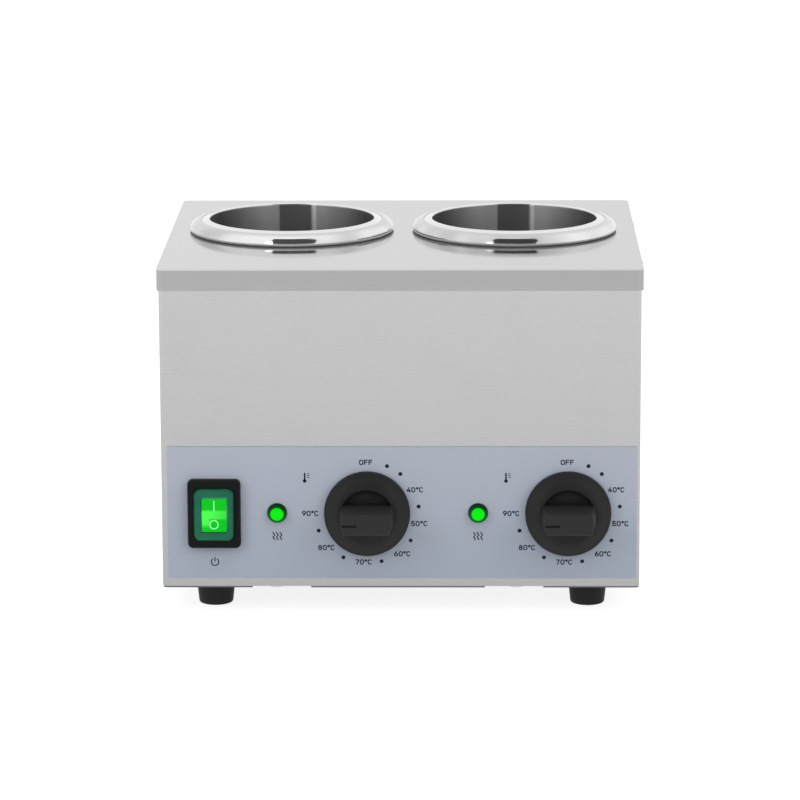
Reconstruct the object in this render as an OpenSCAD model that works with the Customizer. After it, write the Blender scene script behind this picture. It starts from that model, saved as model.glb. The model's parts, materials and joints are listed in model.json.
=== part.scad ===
// Twin-well topping warmer: a folded steel case with two heated wells, two lift-out pots,
// a thermostat, a pilot lamp and a knob for each well, and one covered mains switch.
// Millimetres. X runs to the right as seen from the front, Y to the rear, Z up from the table.

/* [Case] */
// Width of the case across its side walls
case_w = 297.6; // [294:0.2:340]
// Depth of the case from the front wall to the rear panel
case_d = 256; // [250:0.5:290]
// Height from the underside of the base plate to the top of the cover
case_h = 202.2; // [197:0.1:230]
// Thickness of the folded steel sheet
sheet_t = 1; // [0.8:0.1:1.2]
// Outside radius of the case's upright folds
fold_r = 2.5; // [2:0.1:4]
// Width of the lips folded inward under the case
lip_w = 14; // [12:0.5:16]
// Depth of the cover's turned-down flange
cover_flange_h = 13.5; // [11:0.5:18]
// Gap between the cover's flange and the case
cover_gap = 0.2; // [0.15:0.05:0.4]

/* [Pots and wells] */
// Distance of each pot's axis from the middle of the case
pot_x = 72; // [72:0.2:74]
// Distance of the pots' axes behind the front wall
pot_setback = 141; // [138:0.5:146]
// Inside radius of a pot
pot_r = 53; // [50:0.25:53.5]
// Wall of a pot and of its rolled rim
pot_t = 1; // [0.8:0.1:1.2]
// Depth of a pot below the top of the cover
pot_depth = 150; // [120:1:152]
// Height of the rolled rim above the cover
rim_h = 8.6; // [8:0.1:11]
// Width of the rolled rim outside the pot's bore
rim_w = 13.1; // [12.5:0.1:14]
// Gap between a pot's wall and its well
well_gap = 1; // [0.6:0.1:1.5]
// Gap under a pot inside its well
well_floor_gap = 5; // [3:0.5:8]

/* [Heating] */
// Height of a band heater
band_h = 80; // [60:1:84]
// Thickness of a band heater
band_t = 3; // [2:0.5:3.5]
// Thickness of the insulation jacket round a well
jacket_t = 11.6; // [8:0.2:11.8]
// Half of the angle that the jacket leaves open at the front
jacket_gap_angle = 33; // [31:1:40]

/* [Controls] */
// Height of the row of controls below the top of the cover
control_drop = 154; // [148:0.5:156]
// Distance between the two knobs, and between the two lamps
control_pitch = 125; // [122:0.5:125.5]
// Place of the left knob's axis
knob_x = -20.8; // [-22:0.2:-20]
// Place of the left lamp's axis
lamp_x = -76.8; // [-78:0.2:-74]
// Place of the mains switch's middle
switch_x = -115.9; // [-118:0.2:-115]
// Radius of a knob
knob_r = 26.8; // [25:0.2:28]
// How far a knob's grip stands out of the front
knob_front = 33; // [28:0.5:36]
// Length of a knob's grip bar
grip_l = 32.4; // [28:0.2:34]
// Thickness of a knob's grip bar
grip_t = 13.4; // [10:0.2:14]
// Width of the printed overlay on the front
overlay_w = 292; // [286:0.5:292.5]
// Height of the printed overlay
overlay_h = 84.4; // [82:0.2:85]
// Width of the switch's frame
switch_w = 33; // [31:0.5:36]
// Height of the switch's frame
switch_h = 43.6; // [42.8:0.2:48]
// Radius of a lamp's lens
lens_r = 6.2; // [5.8:0.1:7.5]

/* [Feet and rear] */
// Height of a foot
foot_h = 17; // [14:0.5:25]
// Radius of a foot where it meets the base plate
foot_r = 12.4; // [11:0.1:13.5]
// Distance of a foot's axis from the case's side wall
foot_inset_x = 31.5; // [28:0.5:40]
// Distance of a foot's axis from the front wall or rear panel
foot_inset_y = 30.5; // [28:0.5:40]
// Place of the cable gland across the rear panel
gland_x = 100; // [90:1:108]
// Height of the cable gland above the base plate
gland_z = 30; // [26:0.5:34]
// Radius of the hole that the cable gland's seal leaves for a cable
gland_bore_r = 4; // [3:0.1:4.5]

/* [Hidden] */
$fn = 64;
eps = 1;                                // how far a cut runs past the face that it opens

// Levels, from the table up
floor_z = foot_h + sheet_t;             // top of the base plate, bottom edge of the case
lip_top_z = floor_z + sheet_t;
top_z = foot_h + case_h;
roof_z = top_z - sheet_t;               // underside of the cover
control_z = top_z - control_drop;

// Overlay and wall of the front
overlay_t = 0.4;
overlay_x = 0.9;                        // the overlay sits a little to the right of the middle
overlay_bottom = 5.1;                   // bare steel under the overlay
overlay_corner_r = 1.2;
wall_in = -overlay_t - sheet_t;         // inner face of the front wall, seen from the overlay's face

// Cable gland, standing out of the rear panel
gland_flange_t = 5;
gland_cap_l = 15;
gland_out = gland_flange_t + gland_cap_l;

// Front to rear: the origin is under the middle of the whole length, knobs and gland included
front_y = (knob_front + overlay_t - gland_out - case_d) / 2;
back_y = front_y + case_d;
mid_y = (front_y + back_y) / 2;
face_y = front_y - overlay_t;
pot_y = front_y + pot_setback;

// Cover
cover_w = case_w + 2 * (cover_gap + sheet_t);
cover_d = case_d + 2 * (cover_gap + sheet_t);
cover_corner_r = fold_r + cover_gap + sheet_t;

// Screws: shank and head radii, and the clearances of their holes
m4_r = 2;
m3_r = 1.6;
tight = 0.05;                           // a threaded hole round its screw
loose = 0.3;                            // a clearance hole round its screw
head_m4_r = 3.9;
head_m4_h = 2.6;
head_m3_r = 3.2;
head_m3_h = 2.2;
nut_m4_r = 4;
nut_m4_h = 3.2;

cover_screw_y = 70;                     // from the middle of the case, front and rear
cover_screw_drop = 8;
rear_screw_inset = 6.5;
rear_screw_rows = [22, 95, 168];        // above the base plate
rear_lip_screw_x = 60;
side_screw_inset_y = 62;
lip_screw_inset = 7.5;
return_w = 12;                          // flange that the side walls turn in behind the rear panel

// Base plate
base_inset = 0.4;
tab_x = 72.5;
tab_shift = -1.8;                       // both tabs sit a little to the left
tab_w = 35;
notch_w = 36.5;
tab_screw_x = 75;
tab_screw_shift = -2.7;
tab_screw_inset = 6.5;
tab_head_r = 5.4;
tab_head_h = 1.8;
tab_step = 0.5;                         // gap between the front lip and the step up to a tab
slot_count = 5;
slot_pitch = 11;
slot_l = 40;
slot_w = 3.2;
rear_slot_drop = 26;

// Wells and pots
pot_out_r = pot_r + pot_t;
pot_fillet_r = 9;
well_r = pot_out_r + well_gap;
well_t = 1;
well_out_r = well_r + well_t;
well_top_z = roof_z - 1.5;
seal_t = roof_z - well_top_z;
cover_hole_r = well_r + 2.5;
well_flange_r = well_out_r + 10;
well_floor_z = top_z - pot_depth - pot_t - well_floor_gap;
well_bottom_z = well_floor_z - well_t;
stud_pitch_r = well_out_r + 5.5;
stud_l = 11;

// Band heater and what goes round it
band_gap = 0.1;
band_in_r = well_out_r + band_gap;
band_out_r = band_in_r + band_t;
band_z = well_bottom_z + 13;
band_gap_angle = 15;
lug_t = 2;
lug_l = 11;
lug_h = 14;
lug_rows = [0.25, 0.75];                // shares of the band's height
clamp_r = band_out_r + 6.4;
post_angle = 24;
post_l = 9;
post_z = band_z + 6;
post_seat = band_out_r + 3;             // shoulder where a wire's tag lies
tag_t = 1;
tag_r = 3.2;
tag_barrel_r = 1.8;
tag_barrel_l = 6;
jacket_r = band_out_r + 0.3;
jacket_out_r = jacket_r + jacket_t;
jacket_z = well_bottom_z + 4;
jacket_top_z = well_top_z - stud_l - 2;
well_side_clear = 1;                    // least gap from a well's flange or jacket to the side wall
well_middle_clear = 0.5;                // and to the middle of the case

// Thermostats and their sensors
thermostat_w = 34;
thermostat_l = 21;
bush_r = 4.8;
bush_out = 3.6;                         // bush end, in front of the overlay
shaft_r = 3;
shaft_run = 0.06;                       // running clearance of the shaft in its bush
shaft_in = 12;                          // how far the shaft reaches behind the front wall
shaft_flat = 2.2;                       // from the axis to the shaft's flat
shaft_tip_gap = 4.5;                    // solid plastic between the shaft's end and the grip's face
thermostat_screw_x = 14;
thermostat_screw_l = 8;
thermostat_head_h = 2;
bulb_r = 3;
bulb_l = 70;
capillary_r = 0.9;

// Knob
knob_gap = 1;
knob_rim = 4.6;
knob_dome = 9.8;
knob_bowl_r = grip_l / 2 + 0.1;
knob_bowl_floor = 4.8;
knob_bowl_side = grip_t / 2 - 1;        // the bowl lies only above this line, beside the grip's upper side
knob_skirt_t = 2.2;
knob_hub_r = 6.8;
knob_back = 3.1;                        // depth of the hollow behind the knob's face
knob_key = 0.06;                        // clearance round the shaft
pointer_l = 9;
pointer_inset = 1.4;                    // from the grip's end
pointer_w = 1.5;
pointer_deep = 0.8;
pointer_drop = 0.6;                     // the groove lies a little below the grip's middle
grip_round = 1;
grip_flare = 1.2;                       // how much longer the grip is at its root, at each end

// Mains switch
frame_out = 5;
frame_round = 3.2;
frame_lean = 0.5;
boot_out = 7.8;
boot_w = 24.8;
boot_h = 32.6;
boot_t = 0.8;
boot_corner_r = 4.2;
boot_edge = 1.2;
rocker_w = 15.2;
rocker_h = 21;
rocker_angle = 6;
rocker_pivot = -2;                      // the pivot's depth behind the overlay's face
rocker_drop = 1.1;                      // the pivot lies a little below the frame's middle
rocker_end = 5.4;
rocker_mid = 4.4;
rocker_side_gap = 0.5;                  // from the rocker to the sides of its opening in the housing
rocker_end_gap = 1.1;                   // from the rocker to the opening's upper and lower ends
rocker_pin_r = 1.25;
rocker_root = 6;
switch_body_w = 26;
switch_body_h = 35;
switch_body_l = 24;
switch_cavity = 11;
blade_w = 6.3;
blade_t = 0.8;
blade_l = 9;
blade_x = 6;
blade_z = 10;

// Feet
foot_seat_h = 8;                        // where the screw's head bears inside a foot
foot_taper = 3.1;

// Pilot lamps
lens_out = 4.6;
lens_face_r = 4.2;
lens_rim = 1.3;
lamp_r = 4.9;
lamp_l = 24;
lamp_nut_r = 8.5;
lamp_nut_t = 1.2;

// Terminal block and earth stud, on the base plate near the gland
block_w = 36;
block_d = 20;
block_h = 15;
block_x = gland_x - 62;
block_y = back_y - 52;
block_pitch = 11;
earth_x = gland_x - 12;
earth_y = back_y - 34;
earth_l = 18;

// Cable gland
gland_stem_r = 8;
gland_stem_l = 11;
gland_flange_r = 12.2;
gland_cap_r = 11;
gland_seal_r = 7;
gland_seal_l = 9;
locknut_r = 12;
locknut_t = 5;
gland_height = foot_h + gland_z;

// Wiring: sleeves, and the places where leads begin and end
wire_r = 1.3;
wire_thin_r = 0.9;
wire_step = 7.5;
wire_floor = floor_z + 6;
sleeve_w = 7.8;
sleeve_t = 3.2;
sleeve_l = 9.5;
sleeve_end = 3;                         // solid length behind the blade's end
switch_end_y = face_y + switch_body_l + blade_l;
stat_end_y = face_y - wall_in + thermostat_l + blade_l;
stat_blade_x = 9;
stat_blade_z = control_z - 6 + blade_w / 2;
cutout_blade_x = 5;
cutout_h = 9;
cutout_blade_l = 8;
cutout_end_z = well_bottom_z - cutout_h - cutout_blade_l;
lamp_pin_l = 4;
lamp_end_y = face_y + lamp_l + lamp_pin_l;
block_hole_z = floor_z + 5.5;
function stat_x(i, s) = knob_x + i * control_pitch + s * stat_blade_x;
function stat_back(i, s, dz) = [stat_x(i, s), stat_end_y + sleeve_end, stat_blade_z + dz];
function switch_back(sx, sz) =
    [switch_x + sx * blade_x, switch_end_y + sleeve_end, control_z + sz * blade_z];
function cutout_low(side, s) = [side * pot_x + s * cutout_blade_x, pot_y, cutout_end_z - sleeve_end];
function post_end(side, s) = [
    side * pot_x + (post_seat + tag_barrel_r) * sin(s * post_angle),
    pot_y - (post_seat + tag_barrel_r) * cos(post_angle),
    post_z - tag_r - tag_barrel_l];

// A block with rounded upright edges, standing on z = 0 round its middle
module rounded_block(w, d, h, r) {
    linear_extrude(height = h) union() {
        square([w - 2 * r, d], center = true);
        square([w, d - 2 * r], center = true);
        for (sx = [-1, 1], sy = [-1, 1])
            translate([sx * (w / 2 - r), sy * (d / 2 - r)]) circle(r = r);
    }
}

// A flat ring standing on z = 0
module ring(outer, inner, h) {
    difference() {
        cylinder(r = outer, h = h);
        translate([0, 0, -eps]) cylinder(r = inner, h = h + 2 * eps);
    }
}

// A slot with round ends, along X
module slot(l, w, h) {
    hull_l = l - w;
    linear_extrude(height = h) union() {
        square([hull_l, w], center = true);
        for (s = [-1, 1]) translate([s * hull_l / 2, 0]) circle(d = w);
    }
}

// Points of an elliptical arc, for a turned outline
function arc(cx, cz, rx, rz, from, to, steps) =
    [for (i = [0 : steps]) let (a = from + (to - from) * i / steps) [cx + rx * cos(a), cz + rz * sin(a)]];

// Places children on the front: Z points out of the overlay's face, Y up
module on_front(x, z = control_z) {
    translate([x, face_y, z]) rotate([90, 0, 0]) children();
}

// Pan-head screw: the head stands on z = 0 upward, the shank runs down
module pan_screw(shank_r, shank_l, head_r, head_h) {
    difference() {
        rotate_extrude() polygon(concat(
            [[0, -shank_l], [shank_r, -shank_l], [shank_r, 0], [head_r, 0], [head_r, head_h * 0.35]],
            arc(0, head_h * 0.35, head_r, head_h * 0.65, 12, 90, 7)));
        for (a = [0, 90]) rotate([0, 0, a])
            translate([-head_r * 0.55, -head_h * 0.14, head_h * 0.45])
                cube([head_r * 1.1, head_h * 0.28, head_h]);
    }
}

module nut(screw_r, across_r, h) {
    difference() {
        cylinder(r = across_r, h = h, $fn = 6);
        translate([0, 0, -eps]) cylinder(r = screw_r + tight, h = h + 2 * eps);
    }
}

// A smooth tube along a list of points, which it passes through
function unit(v) = v / norm(v);
function spline_at(a, b, c, d, t) =
    0.5 * (2 * b + (c - a) * t + (2 * a - 5 * b + 4 * c - d) * t * t + (3 * b - a - 3 * c + d) * t * t * t);
function spline(p, step) = let (last = len(p) - 1) concat([
    for (i = [0 : last - 1]) let (n = max(1, ceil(norm(p[i + 1] - p[i]) / step))) for (k = [0 : n - 1])
        spline_at(p[max(i - 1, 0)], p[i], p[i + 1], p[min(i + 2, last)], k / n)], [p[last]]);

module tube(points, r, step, sides = 8) {
    path = spline(points, step);
    last = len(path) - 1;
    end = len(points) - 1;
    along = [for (i = [0 : last])
        i == 0 ? unit(points[1] - points[0])
        : i == last ? unit(points[end] - points[end - 1])
        : unit(path[i + 1] - path[i - 1])];
    start = abs(along[0][2]) < 0.9 ? [0, 0, 1] : [1, 0, 0];
    across = [for (i = 0, v = unit(start - (start * along[0]) * along[0]); i <= last;
        i = i + 1, v = i > last ? v : unit(v - (v * along[min(i, last)]) * along[min(i, last)])) v];
    points_3d = [for (i = [0 : last], k = [0 : sides - 1])
        let (a = 360 * k / sides, other = cross(along[i], across[i]))
        path[i] + r * (cos(a) * across[i] + sin(a) * other)];
    skin = [for (i = [0 : last - 1], k = [0 : sides - 1], half = [0, 1])
        let (a = i * sides + k, b = i * sides + (k + 1) % sides)
        half == 0 ? [a, a + sides, b] : [b, a + sides, b + sides]];
    caps = [for (k = [1 : sides - 2], far = [0, 1])
        far == 0 ? [0, k, k + 1] : [last * sides, last * sides + k + 1, last * sides + k]];
    polyhedron(points = points_3d, faces = concat(skin, caps), convexity = 4);
}

// The case's outline seen from above, as a solid of the given height and inset
module case_solid(z, h, inset = 0) {
    translate([0, mid_y, z])
        rounded_block(case_w - 2 * inset, case_d - 2 * inset, h, fold_r - min(inset, fold_r / 2));
}

module at_wells() {
    for (s = [-1, 1]) translate([s * pot_x, pot_y, 0]) children();
}

// Places a part of a well, and keeps it between the middle of the case and the side wall
module at_well(side) {
    inner = case_w / 2 - sheet_t - well_side_clear;
    intersection() {
        translate([side * pot_x, pot_y, 0]) children();
        translate([side > 0 ? well_middle_clear : -inner, front_y, foot_h])
            cube([inner - well_middle_clear, case_d, case_h]);
    }
}

module at_cover_screws() {
    for (sx = [-1, 1], sy = [-1, 1])
        translate([sx * cover_w / 2, mid_y + sy * cover_screw_y, top_z - cover_screw_drop])
            rotate([0, sx * 90, 0]) children();
}

module at_rear_screws() {
    for (sx = [-1, 1], h = rear_screw_rows)
        translate([sx * (case_w / 2 - rear_screw_inset), back_y, foot_h + h]) rotate([-90, 0, 0]) children();
}

// Screws that come up through the base plate into the lips
module at_lip_screws() {
    for (sx = [-1, 1], y = [front_y + side_screw_inset_y, back_y - side_screw_inset_y])
        translate([sx * (case_w / 2 - lip_screw_inset), y, foot_h]) rotate([180, 0, 0]) children();
    for (sx = [-1, 1])
        translate([sx * rear_lip_screw_x, back_y - lip_screw_inset, foot_h]) rotate([180, 0, 0]) children();
}

module at_tab_screws() {
    for (sx = [-1, 1])
        translate([sx * tab_screw_x + tab_screw_shift, front_y + tab_screw_inset, floor_z])
            rotate([180, 0, 0]) children();
}

module at_foot(sx, sy) {
    translate([sx * (case_w / 2 - foot_inset_x),
        sy < 0 ? front_y + foot_inset_y : back_y - foot_inset_y, 0]) children();
}

module at_feet() {
    for (sx = [-1, 1], sy = [-1, 1]) at_foot(sx, sy) children();
}

// Openings that the wall and the overlay of the front share, each a clearance wider than what fills it
module front_openings(clear) {
    on_front(switch_x) translate([0, 0, wall_in - eps])
        rounded_block(switch_body_w + 2 * clear, switch_body_h + 2 * clear, -wall_in + 2 * eps, 1);
    for (i = [0, 1]) {
        on_front(lamp_x + i * control_pitch) translate([0, 0, wall_in - eps])
            cylinder(r = lamp_r + clear, h = -wall_in + 2 * eps);
        on_front(knob_x + i * control_pitch) translate([0, 0, wall_in - eps])
            cylinder(r = bush_r + clear, h = -wall_in + 2 * eps);
    }
}

module thermostat_screw_holes(r) {
    for (i = [0, 1], s = [-1, 1]) on_front(knob_x + i * control_pitch)
        translate([s * thermostat_screw_x, 0, wall_in - eps]) cylinder(r = r, h = -wall_in + 2 * eps);
}

module top_cover() {
    color("gainsboro") difference() {
        translate([0, mid_y, top_z - cover_flange_h])
            rounded_block(cover_w, cover_d, cover_flange_h, cover_corner_r);
        translate([0, mid_y, top_z - cover_flange_h - eps])
            rounded_block(cover_w - 2 * sheet_t, cover_d - 2 * sheet_t, cover_flange_h - sheet_t + eps,
                cover_corner_r - sheet_t);
        at_wells() translate([0, 0, roof_z - eps]) cylinder(r = cover_hole_r, h = sheet_t + 2 * eps);
        at_cover_screws() translate([0, 0, -sheet_t - eps]) cylinder(r = m3_r + loose, h = sheet_t + 2 * eps);
    }
}

module body_shell() {
    color("silver") difference() {
        intersection() {
            case_solid(floor_z, roof_z - floor_z);
            translate([-case_w, front_y - eps, floor_z]) cube([2 * case_w, case_d - sheet_t + eps, case_h]);
        }
        translate([0, mid_y - sheet_t / 2, lip_top_z])
            rounded_block(case_w - 2 * sheet_t, case_d - 3 * sheet_t, case_h, fold_r - sheet_t);
        translate([-(case_w / 2 - lip_w), front_y + lip_w, floor_z - eps])
            cube([case_w - 2 * lip_w, case_d, sheet_t + 2 * eps]);
        translate([-(case_w / 2 - return_w), back_y - lip_w, floor_z - eps])
            cube([case_w - 2 * return_w, lip_w + eps, case_h]);
        front_openings(0.3);
        thermostat_screw_holes(m4_r + loose);
        at_cover_screws() translate([0, 0, -cover_gap - 2 * sheet_t - eps])
            cylinder(r = m3_r + tight, h = cover_gap + 2 * sheet_t + 2 * eps);
        at_rear_screws() translate([0, 0, -2 * sheet_t - eps])
            cylinder(r = m3_r + tight, h = 2 * sheet_t + 2 * eps);
        at_lip_screws() translate([0, 0, -2 * sheet_t - eps])
            cylinder(r = m3_r + tight, h = 2 * sheet_t + 2 * eps);
        at_tab_screws() translate([0, 0, -sheet_t - eps]) cylinder(r = m3_r + loose, h = sheet_t + 2 * eps);
    }
}

module rear_panel() {
    lip_half = case_w / 2 - lip_w - 0.5;
    color("silver") difference() {
        union() {
            intersection() {
                case_solid(floor_z, roof_z - floor_z);
                translate([-case_w, back_y - sheet_t, floor_z]) cube([2 * case_w, sheet_t + eps, case_h]);
            }
            translate([-lip_half, back_y - lip_w, floor_z])
                cube([2 * lip_half, lip_w - sheet_t / 2, sheet_t]);
        }
        at_rear_screws() translate([0, 0, -sheet_t - eps]) cylinder(r = m3_r + loose, h = sheet_t + 2 * eps);
        at_lip_screws() translate([0, 0, -2 * sheet_t - eps])
            cylinder(r = m3_r + tight, h = 2 * sheet_t + 2 * eps);
        translate([gland_x, back_y - sheet_t - eps, gland_height]) rotate([-90, 0, 0])
            cylinder(r = gland_stem_r + 0.2, h = sheet_t + 2 * eps);
        for (sx = [-1, 1], i = [0 : slot_count - 1])
            translate([sx * pot_x, back_y - sheet_t - eps, top_z - rear_slot_drop - i * slot_pitch])
                rotate([-90, 0, 0]) slot(slot_l, slot_w, sheet_t + 2 * eps);
    }
}

module base_plate() {
    step_y = front_y + lip_w + tab_step;
    color("darkgray") difference() {
        union() {
            difference() {
                case_solid(foot_h, sheet_t, base_inset);
                for (sx = [-1, 1])
                    translate([sx * tab_x + tab_shift - notch_w / 2, front_y - eps, foot_h - eps])
                    cube([notch_w, lip_w + tab_step + eps, sheet_t + 2 * eps]);
            }
            for (sx = [-1, 1]) translate([sx * tab_x + tab_shift - tab_w / 2, 0, 0]) {
                translate([0, step_y, foot_h]) cube([tab_w, sheet_t, 3 * sheet_t]);
                translate([0, front_y + sheet_t + 1, lip_top_z])
                    cube([tab_w, lip_w + tab_step - 1, sheet_t]);
            }
        }
        at_feet() translate([0, 0, foot_h - eps]) cylinder(r = m4_r + loose, h = sheet_t + 2 * eps);
        at_lip_screws() translate([0, 0, -sheet_t - eps]) cylinder(r = m3_r + loose, h = sheet_t + 2 * eps);
        at_tab_screws() translate([0, 0, -2 * sheet_t - eps]) cylinder(r = m3_r + tight, h = sheet_t + eps);
        translate([earth_x, earth_y, foot_h - eps]) cylinder(r = m4_r + tight, h = sheet_t + 2 * eps);
        for (s = [-1, 1]) translate([block_x + s * block_pitch / 2, block_y, foot_h - eps])
            cylinder(r = m3_r + tight, h = sheet_t + 2 * eps);
        at_wells() for (i = [0 : slot_count - 1])
            translate([0, (i - (slot_count - 1) / 2) * slot_pitch, foot_h - eps])
                slot(slot_l, slot_w, sheet_t + 2 * eps);
    }
}

module control_overlay() {
    color("lightsteelblue") difference() {
        translate([overlay_x, front_y, floor_z + overlay_bottom + overlay_h / 2]) rotate([90, 0, 0])
            rounded_block(overlay_w, overlay_h, overlay_t, overlay_corner_r);
        front_openings(0.5);
        thermostat_screw_holes(head_m4_r + loose);
    }
}

// A drawn cup with a flat flange, hung under the cover
module well() {
    color("darkgray") difference() {
        rotate_extrude() polygon(concat(
            [[0, well_bottom_z]],
            arc(well_out_r - pot_fillet_r, well_bottom_z + pot_fillet_r, pot_fillet_r, pot_fillet_r,
                -90, 0, 6),
            [[well_out_r, well_top_z - well_t], [well_flange_r, well_top_z - well_t],
                [well_flange_r, well_top_z],
                [well_r, well_top_z]],
            arc(well_r - pot_fillet_r + well_t, well_floor_z + pot_fillet_r - well_t, pot_fillet_r - well_t,
                pot_fillet_r - well_t, 0, -90, 6),
            [[0, well_floor_z]]));
        for (a = [45 : 90 : 315]) rotate([0, 0, a]) translate([stud_pitch_r, 0, well_top_z - well_t - eps])
            cylinder(r = m4_r + loose, h = well_t + 2 * eps);
    }
}

module well_seal() {
    color("firebrick") translate([0, 0, well_top_z]) difference() {
        ring(well_flange_r, cover_hole_r, seal_t);
        for (a = [45 : 90 : 315]) rotate([0, 0, a]) translate([stud_pitch_r, 0, -eps])
            cylinder(r = m4_r + loose, h = seal_t + 2 * eps);
    }
}

module well_studs() {
    color("silver") at_wells() for (a = [45 : 90 : 315]) rotate([0, 0, a])
        translate([stud_pitch_r, 0, roof_z - stud_l]) cylinder(r = m4_r, h = stud_l);
}

module well_nuts() {
    color("silver") at_wells() for (a = [45 : 90 : 315]) rotate([0, 0, a])
        translate([stud_pitch_r, 0, well_top_z - well_t - nut_m4_h]) nut(m4_r, nut_m4_r, nut_m4_h);
}

// A drawn pot whose rim rolls out and down onto the cover
module pot() {
    rim_r = pot_r + rim_w;
    bead_r = pot_r + 5;                 // where the flat band ends and the bead begins
    bead_low = 2;                       // height of the widest part of the bead
    bead_top = rim_h - 1.1;
    bottom = top_z - pot_depth;
    curl = 2.2;
    color("whitesmoke") rotate_extrude() polygon(concat(
        [[0, bottom - pot_t]],
        arc(pot_out_r - pot_fillet_r, bottom - pot_t + pot_fillet_r, pot_fillet_r, pot_fillet_r, -90, 0, 8),
        [[pot_out_r, top_z + rim_h - 2.6], [pot_out_r + 0.6, top_z + rim_h - 1.9],
            [bead_r, top_z + bead_top - pot_t]],
        arc(bead_r, top_z + bead_low, rim_r - bead_r - pot_t, bead_top - bead_low - pot_t, 80, 0, 8),
        [[rim_r - curl - pot_t, top_z + 1], [rim_r - curl - pot_t, top_z]],
        arc(rim_r - curl, top_z + bead_low, curl, bead_low, -90, 0, 6),
        arc(bead_r, top_z + bead_low, rim_r - bead_r, bead_top - bead_low, 6, 84, 13),
        [[bead_r, top_z + bead_top - 0.3], [bead_r - 0.5, top_z + bead_top],
            [pot_r + 1.6, top_z + rim_h]],
        arc(pot_r + 1.3, top_z + rim_h - 1.3, 1.3, 1.3, 90, 180, 5),
        arc(pot_out_r - pot_fillet_r, bottom - pot_t + pot_fillet_r, pot_fillet_r - pot_t,
            pot_fillet_r - pot_t,
            0, -90, 8),
        [[0, bottom]]));
}

// Upright wedge that opens a ring towards the front, between two rays at the given angle
module front_wedge(angle, r, z, h) {
    translate([0, 0, z]) linear_extrude(height = h)
        polygon([[0, 0], [-r * sin(angle), -r * cos(angle)], [0, -r * 1.2],
            [r * sin(angle), -r * cos(angle)]]);
}

module band_heater() {
    edge_x = band_out_r * sin(band_gap_angle);
    root_y = band_out_r * cos(band_gap_angle);
    color("goldenrod") difference() {
        union() {
            difference() {
                translate([0, 0, band_z]) ring(band_out_r, band_in_r, band_h);
                front_wedge(band_gap_angle, 2 * band_out_r, band_z - eps, band_h + 2 * eps);
            }
            for (s = [-1, 1], share = lug_rows)
                translate([s * (edge_x + lug_t / 2) - lug_t / 2, -root_y - lug_l + 1,
                    band_z + share * band_h - lug_h / 2]) cube([lug_t, lug_l, lug_h]);
            for (s = [-1, 1]) rotate([0, 0, s * post_angle]) translate([0, -band_in_r - band_t / 2, post_z])
                rotate([90, 0, 0]) {
                    cylinder(r = 3.6, h = band_t / 2 + 3);
                    cylinder(r = m3_r, h = band_t / 2 + post_l);
                }
        }
        for (share = lug_rows) translate([-2 * edge_x, -clamp_r, band_z + share * band_h])
            rotate([0, 90, 0]) cylinder(r = m4_r + loose, h = 4 * edge_x);
    }
}

// Places children at a heater's post, with Z pointing out of the band
module at_post(side, s) {
    translate([side * pot_x, pot_y, 0]) rotate([0, 0, s * post_angle])
        translate([0, -post_seat, post_z]) rotate([90, 0, 0]) children();
}

module heater_screws() {
    edge_x = band_out_r * sin(band_gap_angle) + lug_t;
    color("silver") {
        at_wells() for (share = lug_rows)
            translate([0, -clamp_r, band_z + share * band_h]) {
                translate([edge_x, 0, 0]) rotate([0, 90, 0])
                    pan_screw(m4_r, 2 * edge_x + nut_m4_h + 2, head_m4_r - 0.4, head_m4_h);
                translate([-edge_x - nut_m4_h, 0, 0]) rotate([0, 90, 0]) nut(m4_r, head_m4_r, nut_m4_h);
            }
        for (side = [-1, 1], s = [-1, 1]) at_post(side, s) translate([0, 0, tag_t]) nut(m3_r, 3, 2.4);
    }
}

module insulation() {
    color("khaki") difference() {
        translate([0, 0, jacket_z]) ring(jacket_out_r, jacket_r, jacket_top_z - jacket_z);
        front_wedge(jacket_gap_angle, 2 * jacket_out_r, jacket_z - eps, jacket_top_z - jacket_z + 2 * eps);
    }
}

// Thermostat behind the front wall; Z points out of the front
module thermostat(x) {
    color("dimgray") on_front(x) difference() {
        union() {
            translate([0, 0, wall_in - 1.5]) rounded_block(thermostat_w + 4, thermostat_w, 1.5, 2);
            translate([0, 0, wall_in - thermostat_l])
                rounded_block(thermostat_w, thermostat_w - 2, thermostat_l - 1, 3);
            translate([0, 0, wall_in - 1]) cylinder(r = bush_r, h = bush_out - wall_in + 1);
            for (s = [-1, 1])
                translate([s * stat_blade_x - blade_t / 2, -6, wall_in - thermostat_l - blade_l])
                cube([blade_t, blade_w, blade_l + 1]);
        }
        translate([0, 0, wall_in - shaft_in - 0.5]) cylinder(r = shaft_r + shaft_run, h = 60);
        for (s = [-1, 1]) translate([s * thermostat_screw_x, 0, wall_in - 9])
            cylinder(r = m4_r + tight, h = 20);
    }
}

module thermostat_screws() {
    color("silver") for (i = [0, 1], s = [-1, 1]) on_front(knob_x + i * control_pitch)
        translate([s * thermostat_screw_x, 0, -overlay_t])
            pan_screw(m4_r, thermostat_screw_l, head_m4_r - 0.4, thermostat_head_h);
}

// Round shaft with a flat near its end, where the knob is keyed
module shaft_profile(clear) {
    difference() {
        circle(r = shaft_r + clear);
        translate([shaft_flat + clear, -shaft_r * 2]) square(shaft_r * 4);
    }
}

module thermostat_shaft(x) {
    tip = knob_front - shaft_tip_gap;
    color("silver") on_front(x) {
        translate([0, 0, wall_in - shaft_in]) cylinder(r = shaft_r, h = bush_out + 1.5 - wall_in + shaft_in);
        translate([0, 0, bush_out + 1.5]) linear_extrude(height = tip - bush_out - 1.5) shaft_profile(0);
    }
}

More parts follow.
